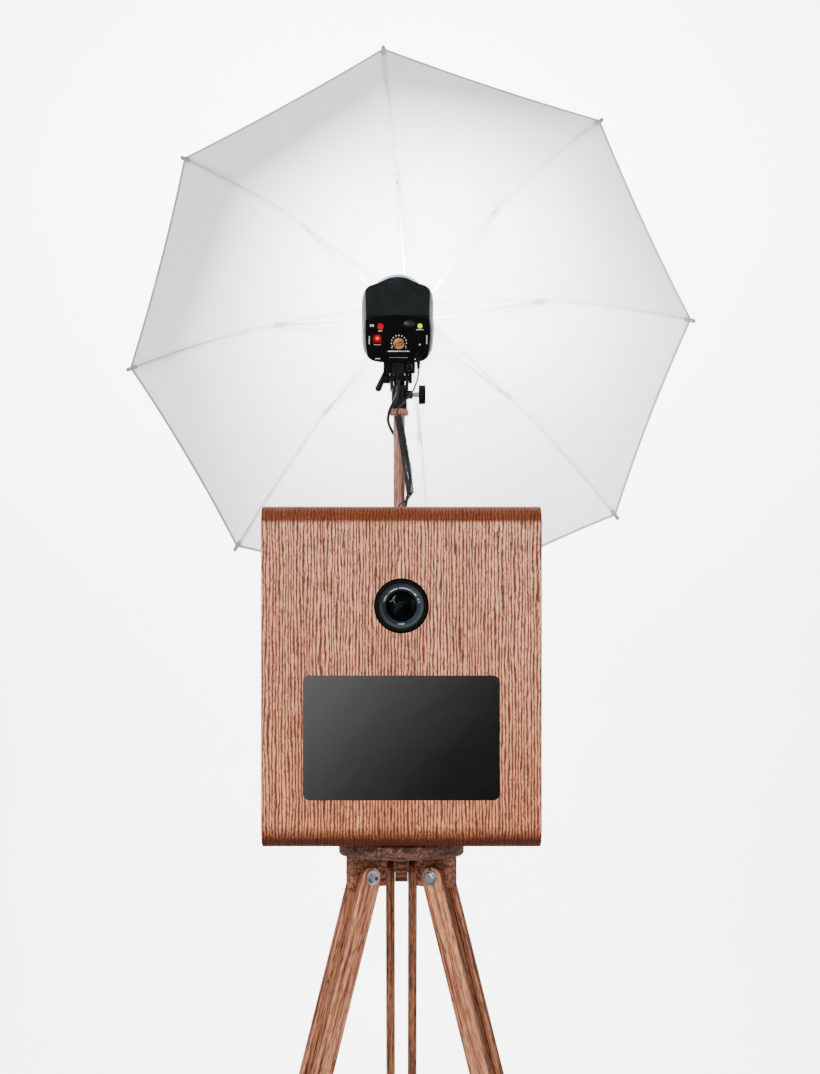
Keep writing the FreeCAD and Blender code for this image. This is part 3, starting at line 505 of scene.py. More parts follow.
def make_pebbled(name, colour):
    """A bright pebbled reflector, dark outside the rim."""
    s = Shader(name, Metallic=1.0)
    voronoi = s.add("ShaderNodeTexVoronoi", {"Vector": s.place, "Scale": 420}, feature="SMOOTH_F1")
    cells = voronoi.outputs["Distance"]
    bright = s.ramp(cells, (0.0, colour), (0.8, tuple(c * 0.75 for c in colour)))
    from_axis = s.vector("SUBTRACT", s.place, LAMP_FRAME @ LAMP_AXIS)
    cross = s.vector("CROSS_PRODUCT", from_axis, ALONG)
    reach = s.add("ShaderNodeVectorMath", {0: cross}, operation="LENGTH").outputs["Value"]
    outside = s.ramp(s.times(reach, 10.0), (0.398, 0.0), (0.402, 1.0))
    s.colour(s.mix(outside, bright, (0.02, 0.03, 0.034)))
    s.roughness(s.plus(cells, outside), 0.16, 0.34)
    s.connect(s.minus(1.0, outside), s.surface.inputs["Metallic"])
    s.bump(cells, 0.6, 0.4 * MM)
    return s.material


def make_glow(name, colour, glow, strength, rough=0.25):
    """A lit plastic lens with a slight change of glow."""
    s = Shader(name, Emission_Strength=strength, Specular_IOR_Level=0.15)
    fine = s.noise(s.place, 420, 3.0)
    s.colour(s.ramp(fine, (0.3, tuple(c * 0.7 for c in colour)), (0.7, colour)))
    glows = s.ramp(fine, (0.3, tuple(c * 0.75 for c in glow)), (0.7, glow))
    s.connect(glows, s.surface.inputs["Emission Color"])
    s.roughness(fine, rough - 0.1, rough + 0.1)
    s.bump(fine, 0.1, 0.1 * MM)
    return s.material


def make_lit_rocker():
    """Deep red lens over a lamp: bright round its upper middle and dim at its edges."""
    s = Shader("lit_red", Emission_Strength=1.0, Specular_IOR_Level=0.1)
    fine = s.noise(s.place, 420, 3.0)
    s.colour(s.ramp(fine, (0.3, (0.09, 0.0004, 0.001)), (0.7, (0.14, 0.0006, 0.0015))))
    reach = s.vector("DISTANCE", s.place, lamp_point(-29.6, -36.5, 66.5), "Value")
    share = s.calculate("DIVIDE", reach, 7.5 * MM)
    glow = s.ramp(share, (0.10, (2.4, 0.55, 0.30)), (0.32, (0.75, 0.02, 0.012)),
                  (0.75, (0.05, 0.0004, 0.0004)))
    s.connect(glow, s.surface.inputs["Emission Color"])
    s.roughness(fine, 0.2, 0.4)
    s.bump(fine, 0.1, 0.1 * MM)
    return s.material


def make_screen():
    """Black glass over a switched-off display, with faint wipe marks."""
    s = Shader("screen_glass", Specular_IOR_Level=0.5, IOR=1.5)
    smear = s.noise(s.along((1, 0, 0.6), 26, 7), 1.0, 5.0, 0.65, 0.8)
    s.colour(s.ramp(smear, (0.3, (0.0012, 0.0012, 0.0014)), (0.7, (0.0020, 0.0020, 0.0022))))
    s.roughness(smear, 0.10, 0.17)
    return s.material


def make_lens_glass():
    s = Shader("lens_glass", Specular_IOR_Level=0.5, IOR=1.16)
    dust = s.noise(s.place, 900, 2.0)
    s.colour(s.ramp(dust, (0.4, (0.30, 0.42, 0.40)), (0.8, (0.36, 0.48, 0.46))))
    s.surface.inputs["Transmission Weight"].default_value = 1.0
    s.roughness(dust, 0.0, 0.04)
    return s.material


def make_cloth(name, tint, through):
    """Thin nylon in a plain weave; through is the share of light that passes it."""
    s = Shader(name, Specular_IOR_Level=0.25, Sheen_Weight=0.15, Roughness=0.7)
    x, _, z = s.parts(s.place)
    weave = s.times(*(s.calculate("SINE", s.times(way, FULL_TURN / WEAVE_PITCH)) for way in (x, z)))
    cloud = s.noise(s.place, 7, 4.0, 0.55)
    thread = s.noise(s.place, 900, 2.0)
    tone = s.ramp(cloud, (0.3, tuple(c * 0.975 for c in tint)), (0.7, tint))
    fine = s.mix(0.06, tone, s.ramp(thread, (0.3, 0.8), (0.7, 1.0)), "MULTIPLY")
    s.colour(fine)
    crease = s.noise(s.place, 16, 3.0, 0.5, 0.5)
    s.bump(s.plus(s.times(weave, 0.05), s.times(crease, 1.2)), 0.25, 1.2 * MM)
    clear = s.add("ShaderNodeBsdfTranslucent", {"Color": fine})
    s.mix_surfaces(through, s.surface.outputs["BSDF"], clear.outputs["BSDF"])
    return s.material


def finish_lamp_plastic(s, sides, dark, black, grain, rough):
    """Grey where sides is 1 and from dark to black elsewhere, with a moulded texture."""
    fine = s.noise(s.place, grain, 2.0)
    cloud = s.noise(s.place, 40, 4.0)
    grey = s.ramp(cloud, (0.3, (0.11, 0.12, 0.135)), (0.7, (0.17, 0.18, 0.20)))
    s.colour(s.mix(sides, s.ramp(cloud, (0.3, dark), (0.7, black)), grey))
    s.roughness(fine, *rough)
    s.bump(fine, 0.3, 0.1 * MM)
    return s.material


def make_cover_plastic():
    """The lamp's rear cover: black rear face, silver-grey side walls that flare a little upwards."""
    s = Shader("cover_plastic", Specular_IOR_Level=0.07)
    centre = LAMP_FRAME @ LAMP_AXIS
    x, _, z = s.parts(s.place)
    offset = s.calculate("ABSOLUTE", s.minus(x, centre.x))
    flare = s.times(s.minus(z, centre.z), 0.03)
    sides = s.ramp(s.calculate("DIVIDE", s.minus(offset, flare), 0.1), (0.428, 0.0), (0.432, 1.0))
    return finish_lamp_plastic(s, sides, (0.0025, 0.0040, 0.0040), (0.0055, 0.0080, 0.0080), 1300,
                               (0.36, 0.55))


def make_shell_plastic():
    """The lamp's case: grey side walls, black above and below."""
    s = Shader("shell_plastic")
    sides = s.ramp(s.calculate("ABSOLUTE", s.normal()[0]), (0.62, 0.0), (0.80, 1.0))
    s.connect(s.times(sides, 0.15), s.surface.inputs["Specular IOR Level"])
    return finish_lamp_plastic(s, sides, (0.005, 0.008, 0.010), (0.011, 0.016, 0.019), 1200, (0.42, 0.6))


def leg_direction(name):
    """Down along a leg, from its bolt to its foot."""
    joint = JOINTS[name + "_fold"]
    outward = Vector((joint["pos_m"][0], joint["pos_m"][1], 0)).normalized()
    splay = math.radians(joint["range_deg"][1])
    return outward * math.sin(splay) - Vector((0, 0, math.cos(splay)))


BROWN = dict(light=(0.60, 0.275, 0.145), middle=(0.40, 0.155, 0.082), dark=(0.12, 0.038, 0.022),
             pore_dark=(0.035, 0.010, 0.006))
# Plastics and paints: name, colour, roughness, grain, bump, specular and change of tone, where not the usual.
PLASTICS = {
    "rib": ("rib_enamel", (0.50, 0.49, 0.47), 0.38, 600, 0.1, 0.4, 0.06),
    "tip": ("tip_plastic", (0.20, 0.20, 0.195), 0.42, 900, 0.15, 0.4, 0.15),
    "clip": ("clip_steel", (0.50, 0.49, 0.47), 0.4, 900, 0.15, 0.4, 0.1),
    "cast": ("cast_black", (0.003, 0.0035, 0.004), 0.42, 1100, 0.4, 0.14),
    "black": ("black_plastic", (0.003, 0.003, 0.0035), 0.42),
    "gloss": ("gloss_panel", (0.0015, 0.0015, 0.0018), 0.24, 60, 0.03, 0.10, 0.2),
    "hood": ("sensor_lens", (0.005, 0.006, 0.007), 0.34, 60, 0.03, 0.22, 0.2),
    "rubber": ("black_rubber", (0.006, 0.006, 0.006), 0.62, 1500, 0.3, 0.12),
    "jacket": ("cord_jacket", (0.006, 0.006, 0.007), 0.34, 1300, 0.15, 0.4),
    "lens_black": ("lens_black", (0.003, 0.004, 0.0045), 0.34, 1600, 0.12),
    "lens_ring": ("lens_ring_grey", (0.016, 0.026, 0.034), 0.36, 1500, 0.12, 0.3, 0.15),
    "baffle": ("baffle_black", (0.0015, 0.002, 0.002), 0.4, 1500, 0.05, 0.05, 0.15),
    "mark": ("white_print", (0.72, 0.74, 0.76), 0.5, 1500, 0.05, 0.3, 0.08),
    "dim_mark": ("grey_print", (0.16, 0.165, 0.17), 0.5, 1500, 0.05, 0.3, 0.1),
    "red": ("red_plastic", (0.34, 0.0003, 0.003), 0.3, 500, 0.05, 0.10, 0.15),
}
MATERIALS = {
    "case": make_case_wood(),
    "side": make_wood("side_veneer", (0, 0, 1), (0.80, 0.42, 0.27), (0.56, 0.23, 0.14),
        (0.27, 0.085, 0.05), (0.09, 0.022, 0.012), 1.2),
    "door": make_wood("door_veneer", (0, 0, 1), (0.78, 0.40, 0.26), (0.54, 0.22, 0.13),
        (0.26, 0.08, 0.048), (0.09, 0.022, 0.012), 1.2),
    "shelf": make_wood("shelf_ply", (1, 0, 0), (0.66, 0.48, 0.33), (0.54, 0.38, 0.25),
        (0.40, 0.26, 0.17), (0.2, 0.12, 0.08)),
    "head": make_ray_wood(),
    "blocks": make_wood("block_oak", (1, 0, 0), (0.34, 0.145, 0.08), (0.19, 0.072, 0.04),
        (0.06, 0.020, 0.012), (0.02, 0.007, 0.004)),
    "mast": make_wood("mast_beech", (0, 0, 1), (0.47, 0.235, 0.185), (0.33, 0.150, 0.118),
        (0.20, 0.08, 0.06), (0.09, 0.032, 0.024), 1.6),
    "steel": make_metal("bright_steel", (0.40, 0.43, 0.46), 0.26),
    # Dark steel for the leg bolts' hexagon sockets: painted shade in place of their recesses.
    "socket": make_metal("socket_shade_steel", (0.05, 0.052, 0.058), 0.35),
    "shaft": make_metal("shaft_steel", (0.60, 0.60, 0.60), 0.3, (1, 0.1, 1)),
    "cover": make_cover_plastic(),
    "shell": make_shell_plastic(),
    "pebble": make_pebbled("reflector_metal", (0.80, 0.81, 0.83)),
    "lit_red": make_lit_rocker(),
    "lit_green": make_glow("lit_green", (0.45, 0.62, 0.005), (0.62, 0.85, 0.01), 0.9),
    "copper": make_copper(),
    "screen": make_screen(),
    "glass": make_lens_glass(),
    "tube": make_glow("flash_tube", (0.9, 0.88, 0.8), (1.0, 0.94, 0.84), 2.0, 0.15),
    "cloth": make_cloth("canopy_nylon", (0.93, 0.93, 0.935), 0.56),
    "seam": make_cloth("seam_nylon", (0.66, 0.66, 0.66), 0.2),
    "hem": make_cloth("hem_tape", (0.34, 0.36, 0.36), 0.1),
}
MATERIALS.update((key, make_plastic(*row)) for key, row in PLASTICS.items())
# Painted shade: each leg's side faces darken to sides=0.34, and the rear leg gets a darker copy of the same
# wood.
for leg_name in LEGS:
    share = 0.55 if leg_name == "leg_rear" else 1.0
    tones = {key: (tone[0] * share, tone[1] * share ** 1.15, tone[2] * share ** 1.35)
             for key, tone in BROWN.items()}
    MATERIALS[leg_name] = make_wood(leg_name + "_wood", leg_direction(leg_name), sides=0.34, **tones)

NODE_MATERIALS = {
    "head": "tripod_head", "blocks": "leg_blocks centre_screw", "steel": "leg_bolts door_pins",
    "leg_left": "leg_left", "leg_right": "leg_right", "leg_rear": "leg_rear", "case": "front_shell",
    "side": "side_panels", "door": "rear_door", "mast": "door_knob mast", "baffle": "lens_bezel",
    "lens_black": "lens_barrel", "rubber": "zoom_ring cable_gland power_plug", "glass": "lens_glass",
    "black": "camera_body clamp_knob tilt_lever umbrella_screw sync_plug runner", "shelf": "camera_shelf",
    "screen": "touch_screen", "cast": "mast_socket lamp_socket lamp_foot", "shell": "lamp_shell",
    "cover": "rear_cover", "gloss": "control_panel", "pebble": "reflector", "tube": "flash_tube",
    "copper": "power_dial", "red": "test_button", "lit_red": "power_switch", "lit_green": "ready_light",
    "shaft": "umbrella_shaft",
}
NODE_MATERIALS["rib"] = " ".join(f"rib_{number} stretcher_{number}" for number in range(1, RIBS + 1))
for which, nodes in NODE_MATERIALS.items():
    for node in nodes.split():
        mesh = frame["nodes"][node].data
        mesh.materials.clear()
        mesh.materials.append(MATERIALS[which])


# ---- cords ----

def row_points(*places):
    """Points in millimetres in the row frame, in metres."""
    return [Vector(place) * MM for place in places]


JACK_X, JACK_Y, JACK_Z = 26.3, -41.5, 40.3     # the sync plug's boot, in the lamp's frame
INLET_X, INLET_Y, INLET_Z = -1.0, -26.0, 29.5  # the power plug
SYNC_ROUTE = [
    lamp_point(JACK_X, JACK_Y, JACK_Z - 15.2), lamp_point(JACK_X, JACK_Y, JACK_Z - 26),
    *row_points((19.5, -38.0, 1687.5), (13.5, -32.0, 1677.0), (5.5, -27.0, 1668.0), (-2.0, -23.0, 1661.0),
                (-5.6, -19.2, 1656.5), (-6.3, -18.2, 1651.0)),
]
CURL_ROUTE = row_points((-4.6, -16.0, 1650.0), (-1.5, -16.5, 1632.0), (3.5, -17.5, 1606.0),
                        (7.0, -18.5, 1580.0), (10.5, -19.0, 1556.0), (12.5, -19.0, 1539.0))
TAIL_ROUTE = row_points((12.5, -19.0, 1538.8), (9.0, -21.0, 1532.5), (2.0, -22.6, 1529.0),
                        (-3.4, -22.3, 1525.6), (-4.0, -22.0, 1520.5))
POWER_ROUTE = [
    lamp_point(INLET_X, INLET_Y, INLET_Z - 24.2), lamp_point(INLET_X, INLET_Y, INLET_Z - 38),
    *row_points((-9.5, -20.5, 1670.0), (-17.0, -14.0, 1656.5), (-19.5, 0.0, 1643.0), (-11.0, 12.0, 1627.0),
                (2.0, 14.0, 1609.0), (11.5, 6.5, 1588.0), (13.0, -1.0, 1566.0), (10.5, -5.5, 1546.0),
                (7.0, -12.5, 1533.0), (5.6, -18.2, 1520.6)),
]


def spline_points(route):
    """Points along the smooth spline that has a route's points as its control points."""
    data = bpy.data.curves.new("route", "CURVE")
    data.dimensions = "3D"
    data.resolution_u = 16
    spline = data.splines.new("NURBS")
    spline.points.add(len(route) - 1)
    for point, place in zip(spline.points, route):
        point.co = (*place, 1)
    spline.order_u = 3
    spline.use_endpoint_u = True
    holder = link("route", data)
    mesh = bpy.data.meshes.new_from_object(holder)
    points = [vertex.co.copy() for vertex in mesh.vertices]
    bpy.data.objects.remove(holder)
    bpy.data.meshes.remove(mesh)
    return [p for i, p in enumerate(points) if i == 0 or (p - points[i - 1]).length > 1e-7]


def line_length(points):
    return sum((b - a).length for a, b in zip(points, points[1:]))


def at_share(points, share):
    """The place and direction a share of the way along a line of points."""
    wanted = share * line_length(points)
    for a, b in zip(points, points[1:]):
        step = (b - a).length
        if wanted <= step or b is points[-1]:
            return a.lerp(b, min(1.0, wanted / step)), (b - a).normalized()
        wanted -= step


def curl_points(route, turns, radius, per_turn=16):
    """A helix about the route's spline, closing in on it at both ends."""
    axis_line = spline_points(route)
    side = (axis_line[1] - axis_line[0]).orthogonal().normalized()
    points = []
    count = turns * per_turn
    for i in range(count + 1):
        share = i / count
        place, tangent = at_share(axis_line, share)
        side = (side - tangent * side.dot(tangent)).normalized()
        ease = min(1.0, share * turns / 1.2, (1 - share) * turns / 1.2)
        reach = radius * math.sin(ease * math.pi / 2)
        turn = FULL_TURN * i / per_turn
        points.append(place + (side * math.cos(turn) + tangent.cross(side) * math.sin(turn)) * reach)
    return points


def tidy_line(points, least):
    """The same line without points that crowd each other."""
    kept = [points[0]]
    for point in points[1:-1]:
        if (point - kept[-1]).length > least:
            kept.append(point)
    return kept + [points[-1]]


def make_cords():
    sync_line = spline_points(SYNC_ROUTE)
    sync = tube("sync_lead_cable", sync_line, SYNC_RADIUS, "jacket")
    curl = curl_points(CURL_ROUTE, CURL_TURNS, CURL_RADIUS - WIRE_RADIUS)
    tail = spline_points(TAIL_ROUTE)
    curl_line = tidy_line(curl + tail, LEAST_STEP)
    curly = tube("curly_cord_cable", curl_line, WIRE_RADIUS, "jacket", 10)
    power_line = spline_points(POWER_ROUTE)
    half = len(power_line) * 4 // 9
    upper_line, lower_line = power_line[:half + 1], power_line[half:]
    upper = tube("power_lead_upper", upper_line, POWER_RADIUS, "jacket", 14)
    lower = tube("power_lead_lower", lower_line, POWER_RADIUS, "jacket", 14)
    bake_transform(sync)
    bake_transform(curly)
    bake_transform(upper)
    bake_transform(lower)
    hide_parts("sync_lead")
    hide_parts("curly_cord")
    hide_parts("power_lead")
    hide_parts("power_lead")


make_cords()


# ---- umbrella ----

def cloth_depth(radius):
    return UMBRELLA_DEPTH * (radius / UMBRELLA_RADIUS) ** UMBRELLA_POWER


def cloth_slope(radius):
    share = (radius / UMBRELLA_RADIUS) ** (UMBRELLA_POWER - 1)
    return UMBRELLA_POWER * UMBRELLA_DEPTH / UMBRELLA_RADIUS * share


def inside(radius, drop):
    """(radius, depth) of the point inside the cloth's line at a radius, drop away from it."""
    slope = cloth_slope(radius)
    long = math.hypot(1, slope)
    return radius - drop * slope / long, cloth_depth(radius) + drop / long


def rib_direction(number):
    """Outward along a rib, numbered from 0, in the lamp's frame."""
    angle = math.radians(90) + UMBRELLA_ROLL - FULL_TURN / RIBS * number
    return Vector((math.cos(angle), 0, math.sin(angle)))


def rib_across(number):
    """Square to one rib's plane, in the lamp's frame."""
    return rib_direction(number).cross(Y_AXIS)


def on_rib(number, radius, drop):
    """A point in one rib's plane, drop inside the cloth."""
    r, depth = inside(radius, drop)
    return APEX + rib_direction(number) * r - Vector((0, depth, 0))


def cloth_point(number, share, radius, drop=0.0):
    """A point of the cloth: share runs from 0 on a rib to 0.5 halfway to the next, or -0.5 to the last."""
    step = 1 if share >= 0 else -1
    return on_rib(number, radius, drop).lerp(on_rib(number + step, radius, drop), abs(share))


def edge_radius(share):
    """The cloth's radius on the ribs' scale, less between the ribs."""
    span = abs(share)
    return UMBRELLA_RADIUS * (1 - EDGE_HOLLOW * 4 * span * (1 - span))


def panel_radii(share):
    reach = edge_radius(share) - CROWN_HOLE
    return [CROWN_HOLE + reach * k / CLOTH_STEPS for k in range(CLOTH_STEPS + 1)]


def hem_radii(share):
    return [edge_radius(share) + place * MM for place in (-2.2, -1.0, 0.2)]


def sheet_between(name, number, radii, top, low, material):
    """A closed sheet either side of a rib: radii gives its rows, top and low its drops from the cloth."""
    shares = [i / 16 for i in range(-8, 9)]
    points = []
    for drop in (top, low):
        for share in shares:
            points += [cloth_point(number, share, radius, drop) for radius in radii(share)]
    rows, columns = len(shares), len(radii(0))
    count = rows * columns
    upper = grid_faces(rows, columns, closed_columns=False)
    faces = upper + [tuple(count + i for i in reversed(face)) for face in upper]
    border = [i * columns for i in range(rows)]
    border += [(rows - 1) * columns + j for j in range(1, columns)]
    border += [i * columns + columns - 1 for i in reversed(range(rows - 1))]
    border += list(reversed(range(1, columns - 1)))
    for a, b in zip(border, border[1:] + border[:1]):
        faces.append((a, b, b + count, a + count))
    return mesh_piece(name, points, faces, material, LAMP_FRAME)


def seam_tape(number):
    """A flat tape on the cloth's outside, beside one rib."""
    start, reach = 12 * MM, UMBRELLA_RADIUS - 14 * MM
    corners = ((-0.25, -0.5), (-0.25, 0.5), (-0.02, 0.5), (-0.02, -0.5))    # drop in mm, share of the width
    columns = CLOTH_STEPS + 1
    points = []
    for drop, share in corners:
        offset = rib_across(number) * (share * SEAM_WIDE + SEAM_SHIFT)
        points += [on_rib(number, start + reach * k / CLOTH_STEPS, drop * MM) + offset
                   for k in range(columns)]
    faces = grid_faces(len(corners), columns, closed_columns=False, closed_rows=True)
    faces += [tuple(end + i * columns for i in range(len(corners))) for end in (0, CLOTH_STEPS)]
    return mesh_piece(f"canopy_seam_{number + 1}", points, faces, "seam", LAMP_FRAME)


def make_canopy():
    """Eight panels with their hems and seams, each riding on its rib."""
    overlap = 0.25 * MM
    for number in range(RIBS):
        body = f"rib_{number + 1}"
        panel = sheet_between(f"canopy_panel_{number + 1}", number, panel_radii, 0.0, CLOTH_THICK, "cloth")
        hem = sheet_between(f"canopy_hem_{number + 1}", number, hem_radii, -overlap, CLOTH_THICK + overlap,
                            "hem")
        seam = seam_tape(number)
        for piece in (panel, hem, seam):
            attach(piece, body)
        for piece in (panel, hem):
            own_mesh(piece)
        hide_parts("canopy")


TIP_OUTLINE = ((0, -9), (2.4, -9), (3.0, -8), (3.0, 3), (2.7, 5), (2.9, 6), (2.9, 10), (2.2, 11.2), (0, 11.6))
RIVET_OUTLINE = ((0, -3.6), (1.1, -3.5), (1.3, -3.0), (0.7, -2.9), (0.7, 2.9), (1.3, 3.0), (1.1, 3.5),
                 (0, 3.6))


def make_rib_details():
    """A tip cap, a joint rivet and a clip on each rib."""
    for number in range(RIBS):
        across = rib_across(number)
        end = on_rib(number, UMBRELLA_RADIUS, RIB_DROP)
        ahead = (end - on_rib(number, UMBRELLA_RADIUS - 5 * MM, RIB_DROP)).normalized()
        cap = turned(f"rib_tip_{number + 1}", TIP_OUTLINE, LAMP_FRAME @ end, lamp_way(ahead), "tip", 20)
        joint = on_rib(number, UMBRELLA_RADIUS * JOINT_SHARE, RIB_DROP)
        rivet = turned(f"rib_rivet_{number + 1}", RIVET_OUTLINE, LAMP_FRAME @ joint, lamp_way(across),
                       "steel", 16)
        middle = on_rib(number, UMBRELLA_RADIUS * CLIP_SHARE, RIB_DROP)
        ahead = (on_rib(number, UMBRELLA_RADIUS * CLIP_SHARE + 4 * MM, RIB_DROP) - middle).normalized()
        basis = Matrix((ahead, across, ahead.cross(across))).transposed().to_4x4()
        clip = soft_box(f"rib_clip_{number + 1}", (-5, -1.9, -2.1), (5, 1.9, 2.1), 0.5, "clip",
                        LAMP_FRAME @ Matrix.Translation(middle) @ basis)
        for piece in (cap, rivet, clip):
            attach(piece, f"rib_{number + 1}")


make_canopy()
make_rib_details()


# ---- lens ----

NAME_RING = ((20.6, 97.1), (20.9, 97.8), (25.9, 103.3), (28.5, 103.45), (28.5, 103.1), (26.1, 103.05),
             (20.6, 97.05))
FILTER_RING = ((28.7, 104.5), (29.2, 106.3), (30.1, 106.3), (30.4, 105.6), (30.4, 103.0), (30.05, 103.0),
               (30.05, 104.5))
BAFFLES = ((19.6, 88.0), (17.0, 82.0), (14.4, 76.0))    # outer radius and front, in mm
MARK_RADIUS, MARK_DEPTH, MARK_SLOPE = 24.2 * MM, 101.43 * MM, math.radians(-47.7)


def lens_marks(centre):
    """Plain raised dashes round the name ring, in place of lettering."""
    random.seed(7)
    marks = []
    for degrees in (*range(12, 168, 4), *range(262, 280, 5)):
        if random.random() < 0.16:
            continue
        wide, high = random.uniform(0.42, 0.75), random.uniform(0.85, 1.2)
        place = (Matrix.Translation(centre) @ Matrix.Rotation(-math.radians(degrees), 4, "Y")
                 @ Matrix.Translation((MARK_RADIUS, -MARK_DEPTH, 0)) @ Matrix.Rotation(MARK_SLOPE, 4, "Z"))
        marks.append(soft_box("mark", (-high, -0.35, -wide), (high, 0.05, wide), 0.04, "mark", place, 1))
    return merged("lens_marks", marks)


def make_lens_details():
    """Name ring with its marks, filter ring and baffle rings, behind or round the front glass."""
    centre = Vector((LENS_AXIS.x, 0, LENS_AXIS.z))
    cone = turned("lens_name_ring", NAME_RING, centre, FORWARD, "lens_ring", 96)
    rim = turned("filter_ring", FILTER_RING, centre, FORWARD, "lens_ring", 96)
    pieces = [cone, rim, lens_marks(centre)]
    for i, (outer, front) in enumerate(BAFFLES):
        outline = ((outer, front), (outer - 2.4, front - 0.8), (outer - 2.4, front - 1.2), (outer, front - 4))
        pieces.append(turned(f"baffle_{i}", outline, centre, FORWARD, "baffle", 72))
    for piece in pieces:
        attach(piece, "case")


make_lens_details()


# ---- lamp panel ----

PRINT_THICK = 0.12                  # mm
DASHES = (                          # start, end, level and height in mm from the lamp's axis
    (-26.6, -20.4, -6.8, 0.9), (-32.4, -22.8, -25.6, 1.0), (-13.4, 16.9, -34.8, 1.3),
    (25.1, 34.6, -5.0, 0.9), (-30.5, -24.0, -45.0, 0.9))
UPRIGHT_DASHES = ((-25.0, -14.0, -38.6, 1.1), (-24.7, -12.7, 39.4, 1.1))
SPOTS = ((-36.6, 0.6, 1.7, 2.6), (-33.4, 0.6, 1.7, 2.6), (30.0, -25.6, 1.6, 1.6), (23.6, -46.0, 1.4, 1.4))
DIAL_X, DIAL_Z, DIAL_DOTS, DOT_RADIUS = 1.6, -23.0, 11, 10.2
SWITCH_TRACK = (                    # x, z, width, height, thickness, bevel
    (30.0, -15.2, 8.4, 0.8, 0.9, 0.2), (30.0, -20.0, 8.4, 0.8, 0.9, 0.2), (25.8, -17.6, 0.8, 5.6, 0.9, 0.2),
    (34.2, -17.6, 0.8, 5.6, 0.9, 0.2), (28.4, -17.6, 3.2, 3.4, 2.4, 0.4))
SWITCH_SURROUND = (
    (-27.8, -11.2, 13.2, 0.9, 1.0, 0.25), (-27.8, -24.8, 13.2, 0.9, 1.0, 0.25),
    (-34.1, -18.0, 0.9, 14.4, 1.0, 0.25), (-21.5, -18.0, 0.9, 14.4, 1.0, 0.25))
PANEL_RINGS = (                     # name, x, z, inner and outer radius, height
    ("button_ring", -23.3, -0.3, 4.55, 5.5, 1.0), ("light_ring", 30.2, 0.1, 3.4, 4.2, 0.7),
    ("dial_ring", DIAL_X, DIAL_Z, 7.8, 8.5, 0.5))
NUT_OUTLINE = ((4.1, 0), (4.1, 1.0), (4.7, 1.0), (5.0, 0.7), (5.0, 0))
SCREW_OUTLINE = ((0, 0.5), (0.5, 0.2), (0.7, 0.6), (2.0, 0.8), (2.7, 0.45), (2.9, -0.4), (0, -0.5))
SHANK_OUTLINE = ((3.02, 0), (3.3, 0.3), (3.3, 8.0), (4.6, 8.2), (4.6, 8.5), (3.02, 8.5))
END_CAP_OUTLINE = ((0, 1.6), (2.0, 1.4), (3.3, 0.8), (3.9, 0), (3.9, -0.4), (0, -0.4))


def on_panel(x, z):
    """A place on the control panel's rear face, in mm from the lamp's axis, in the lamp's frame."""
    return LAMP_AXIS + Vector((x * MM, PANEL_Y, z * MM))


def panel_block(name, x, z, wide, high, thick, material, bevel):
    """A small raised block on the control panel, about its middle, in mm."""
    place = LAMP_FRAME @ Matrix.Translation(on_panel(x, z))
    low, top = (-wide / 2, -thick, -high / 2), (wide / 2, 0.1, high / 2)
    return soft_box(name, low, top, bevel, material, place, 2)


def black_blocks(name, rows):
    return merged(name, [panel_block("bar", x, z, wide, high, thick, "black", bevel)
                         for x, z, wide, high, thick, bevel in rows])


def panel_mark(x, z, wide, high, bevel=0.06):
    return panel_block("mark", x, z, wide, high, PRINT_THICK, "mark", bevel)


def dashes(start, end, level, high, upright=False):
    """A broken line of random dashes, in place of a word."""
    made = []
    while start < end:
        long = min(random.uniform(0.9, 2.4), end - start)
        if long > 0.5:
            middle = start + long / 2
            place = (level, middle, high, long) if upright else (middle, level, long, high)
            made.append(panel_mark(*place, 0.05))
        start += long + 0.55
    return made


def make_panel_print():
    """Plain dashes, dots and lines in place of printing."""
    random.seed(3)
    marks = []
    for row in DASHES:
        marks += dashes(*row)
    for row in UPRIGHT_DASHES:
        marks += dashes(*row, upright=True)
    marks += [panel_mark(*spot) for spot in SPOTS]
    for i in range(DIAL_DOTS):
        angle = math.radians(208 - 23.6 * i)
        marks.append(panel_mark(DIAL_X + DOT_RADIUS * math.cos(angle), DIAL_Z + DOT_RADIUS * math.sin(angle),
                                1.35, 1.35))
    marks += [panel_mark(x, -30.0, 2.0, 0.8, 0.05) for x in (-8.0, 11.0)]
    print_marks = merged("panel_marks", marks)
    line = panel_block("panel_line", 1.3, -43.6, 25.4, 0.7, PRINT_THICK, "dim_mark", 0.05)
    for piece in (print_marks, line):
        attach(piece, "lamp")


def sensor_hood():
    """A low dome, taller towards its lower side."""
    rows, columns = 9, 24
    points = []
    for i in range(rows):
        rise = i / (rows - 1) * math.pi / 2
        reach = math.cos(rise)
        for j in range(columns):
            turn = FULL_TURN * j / columns
            tall = 5.2 * math.sin(rise) * (1 - 0.35 * math.sin(turn) * reach)
            points.append(on_panel(15.4 + 9.2 * reach * math.cos(turn), 3.0 + 5.4 * reach * math.sin(turn))
                          + FORWARD * (tall - 0.1) * MM)
    faces = grid_faces(rows, columns) + [tuple(range(columns))]
    return mesh_piece("sensor_hood", points, faces, "hood", LAMP_FRAME)


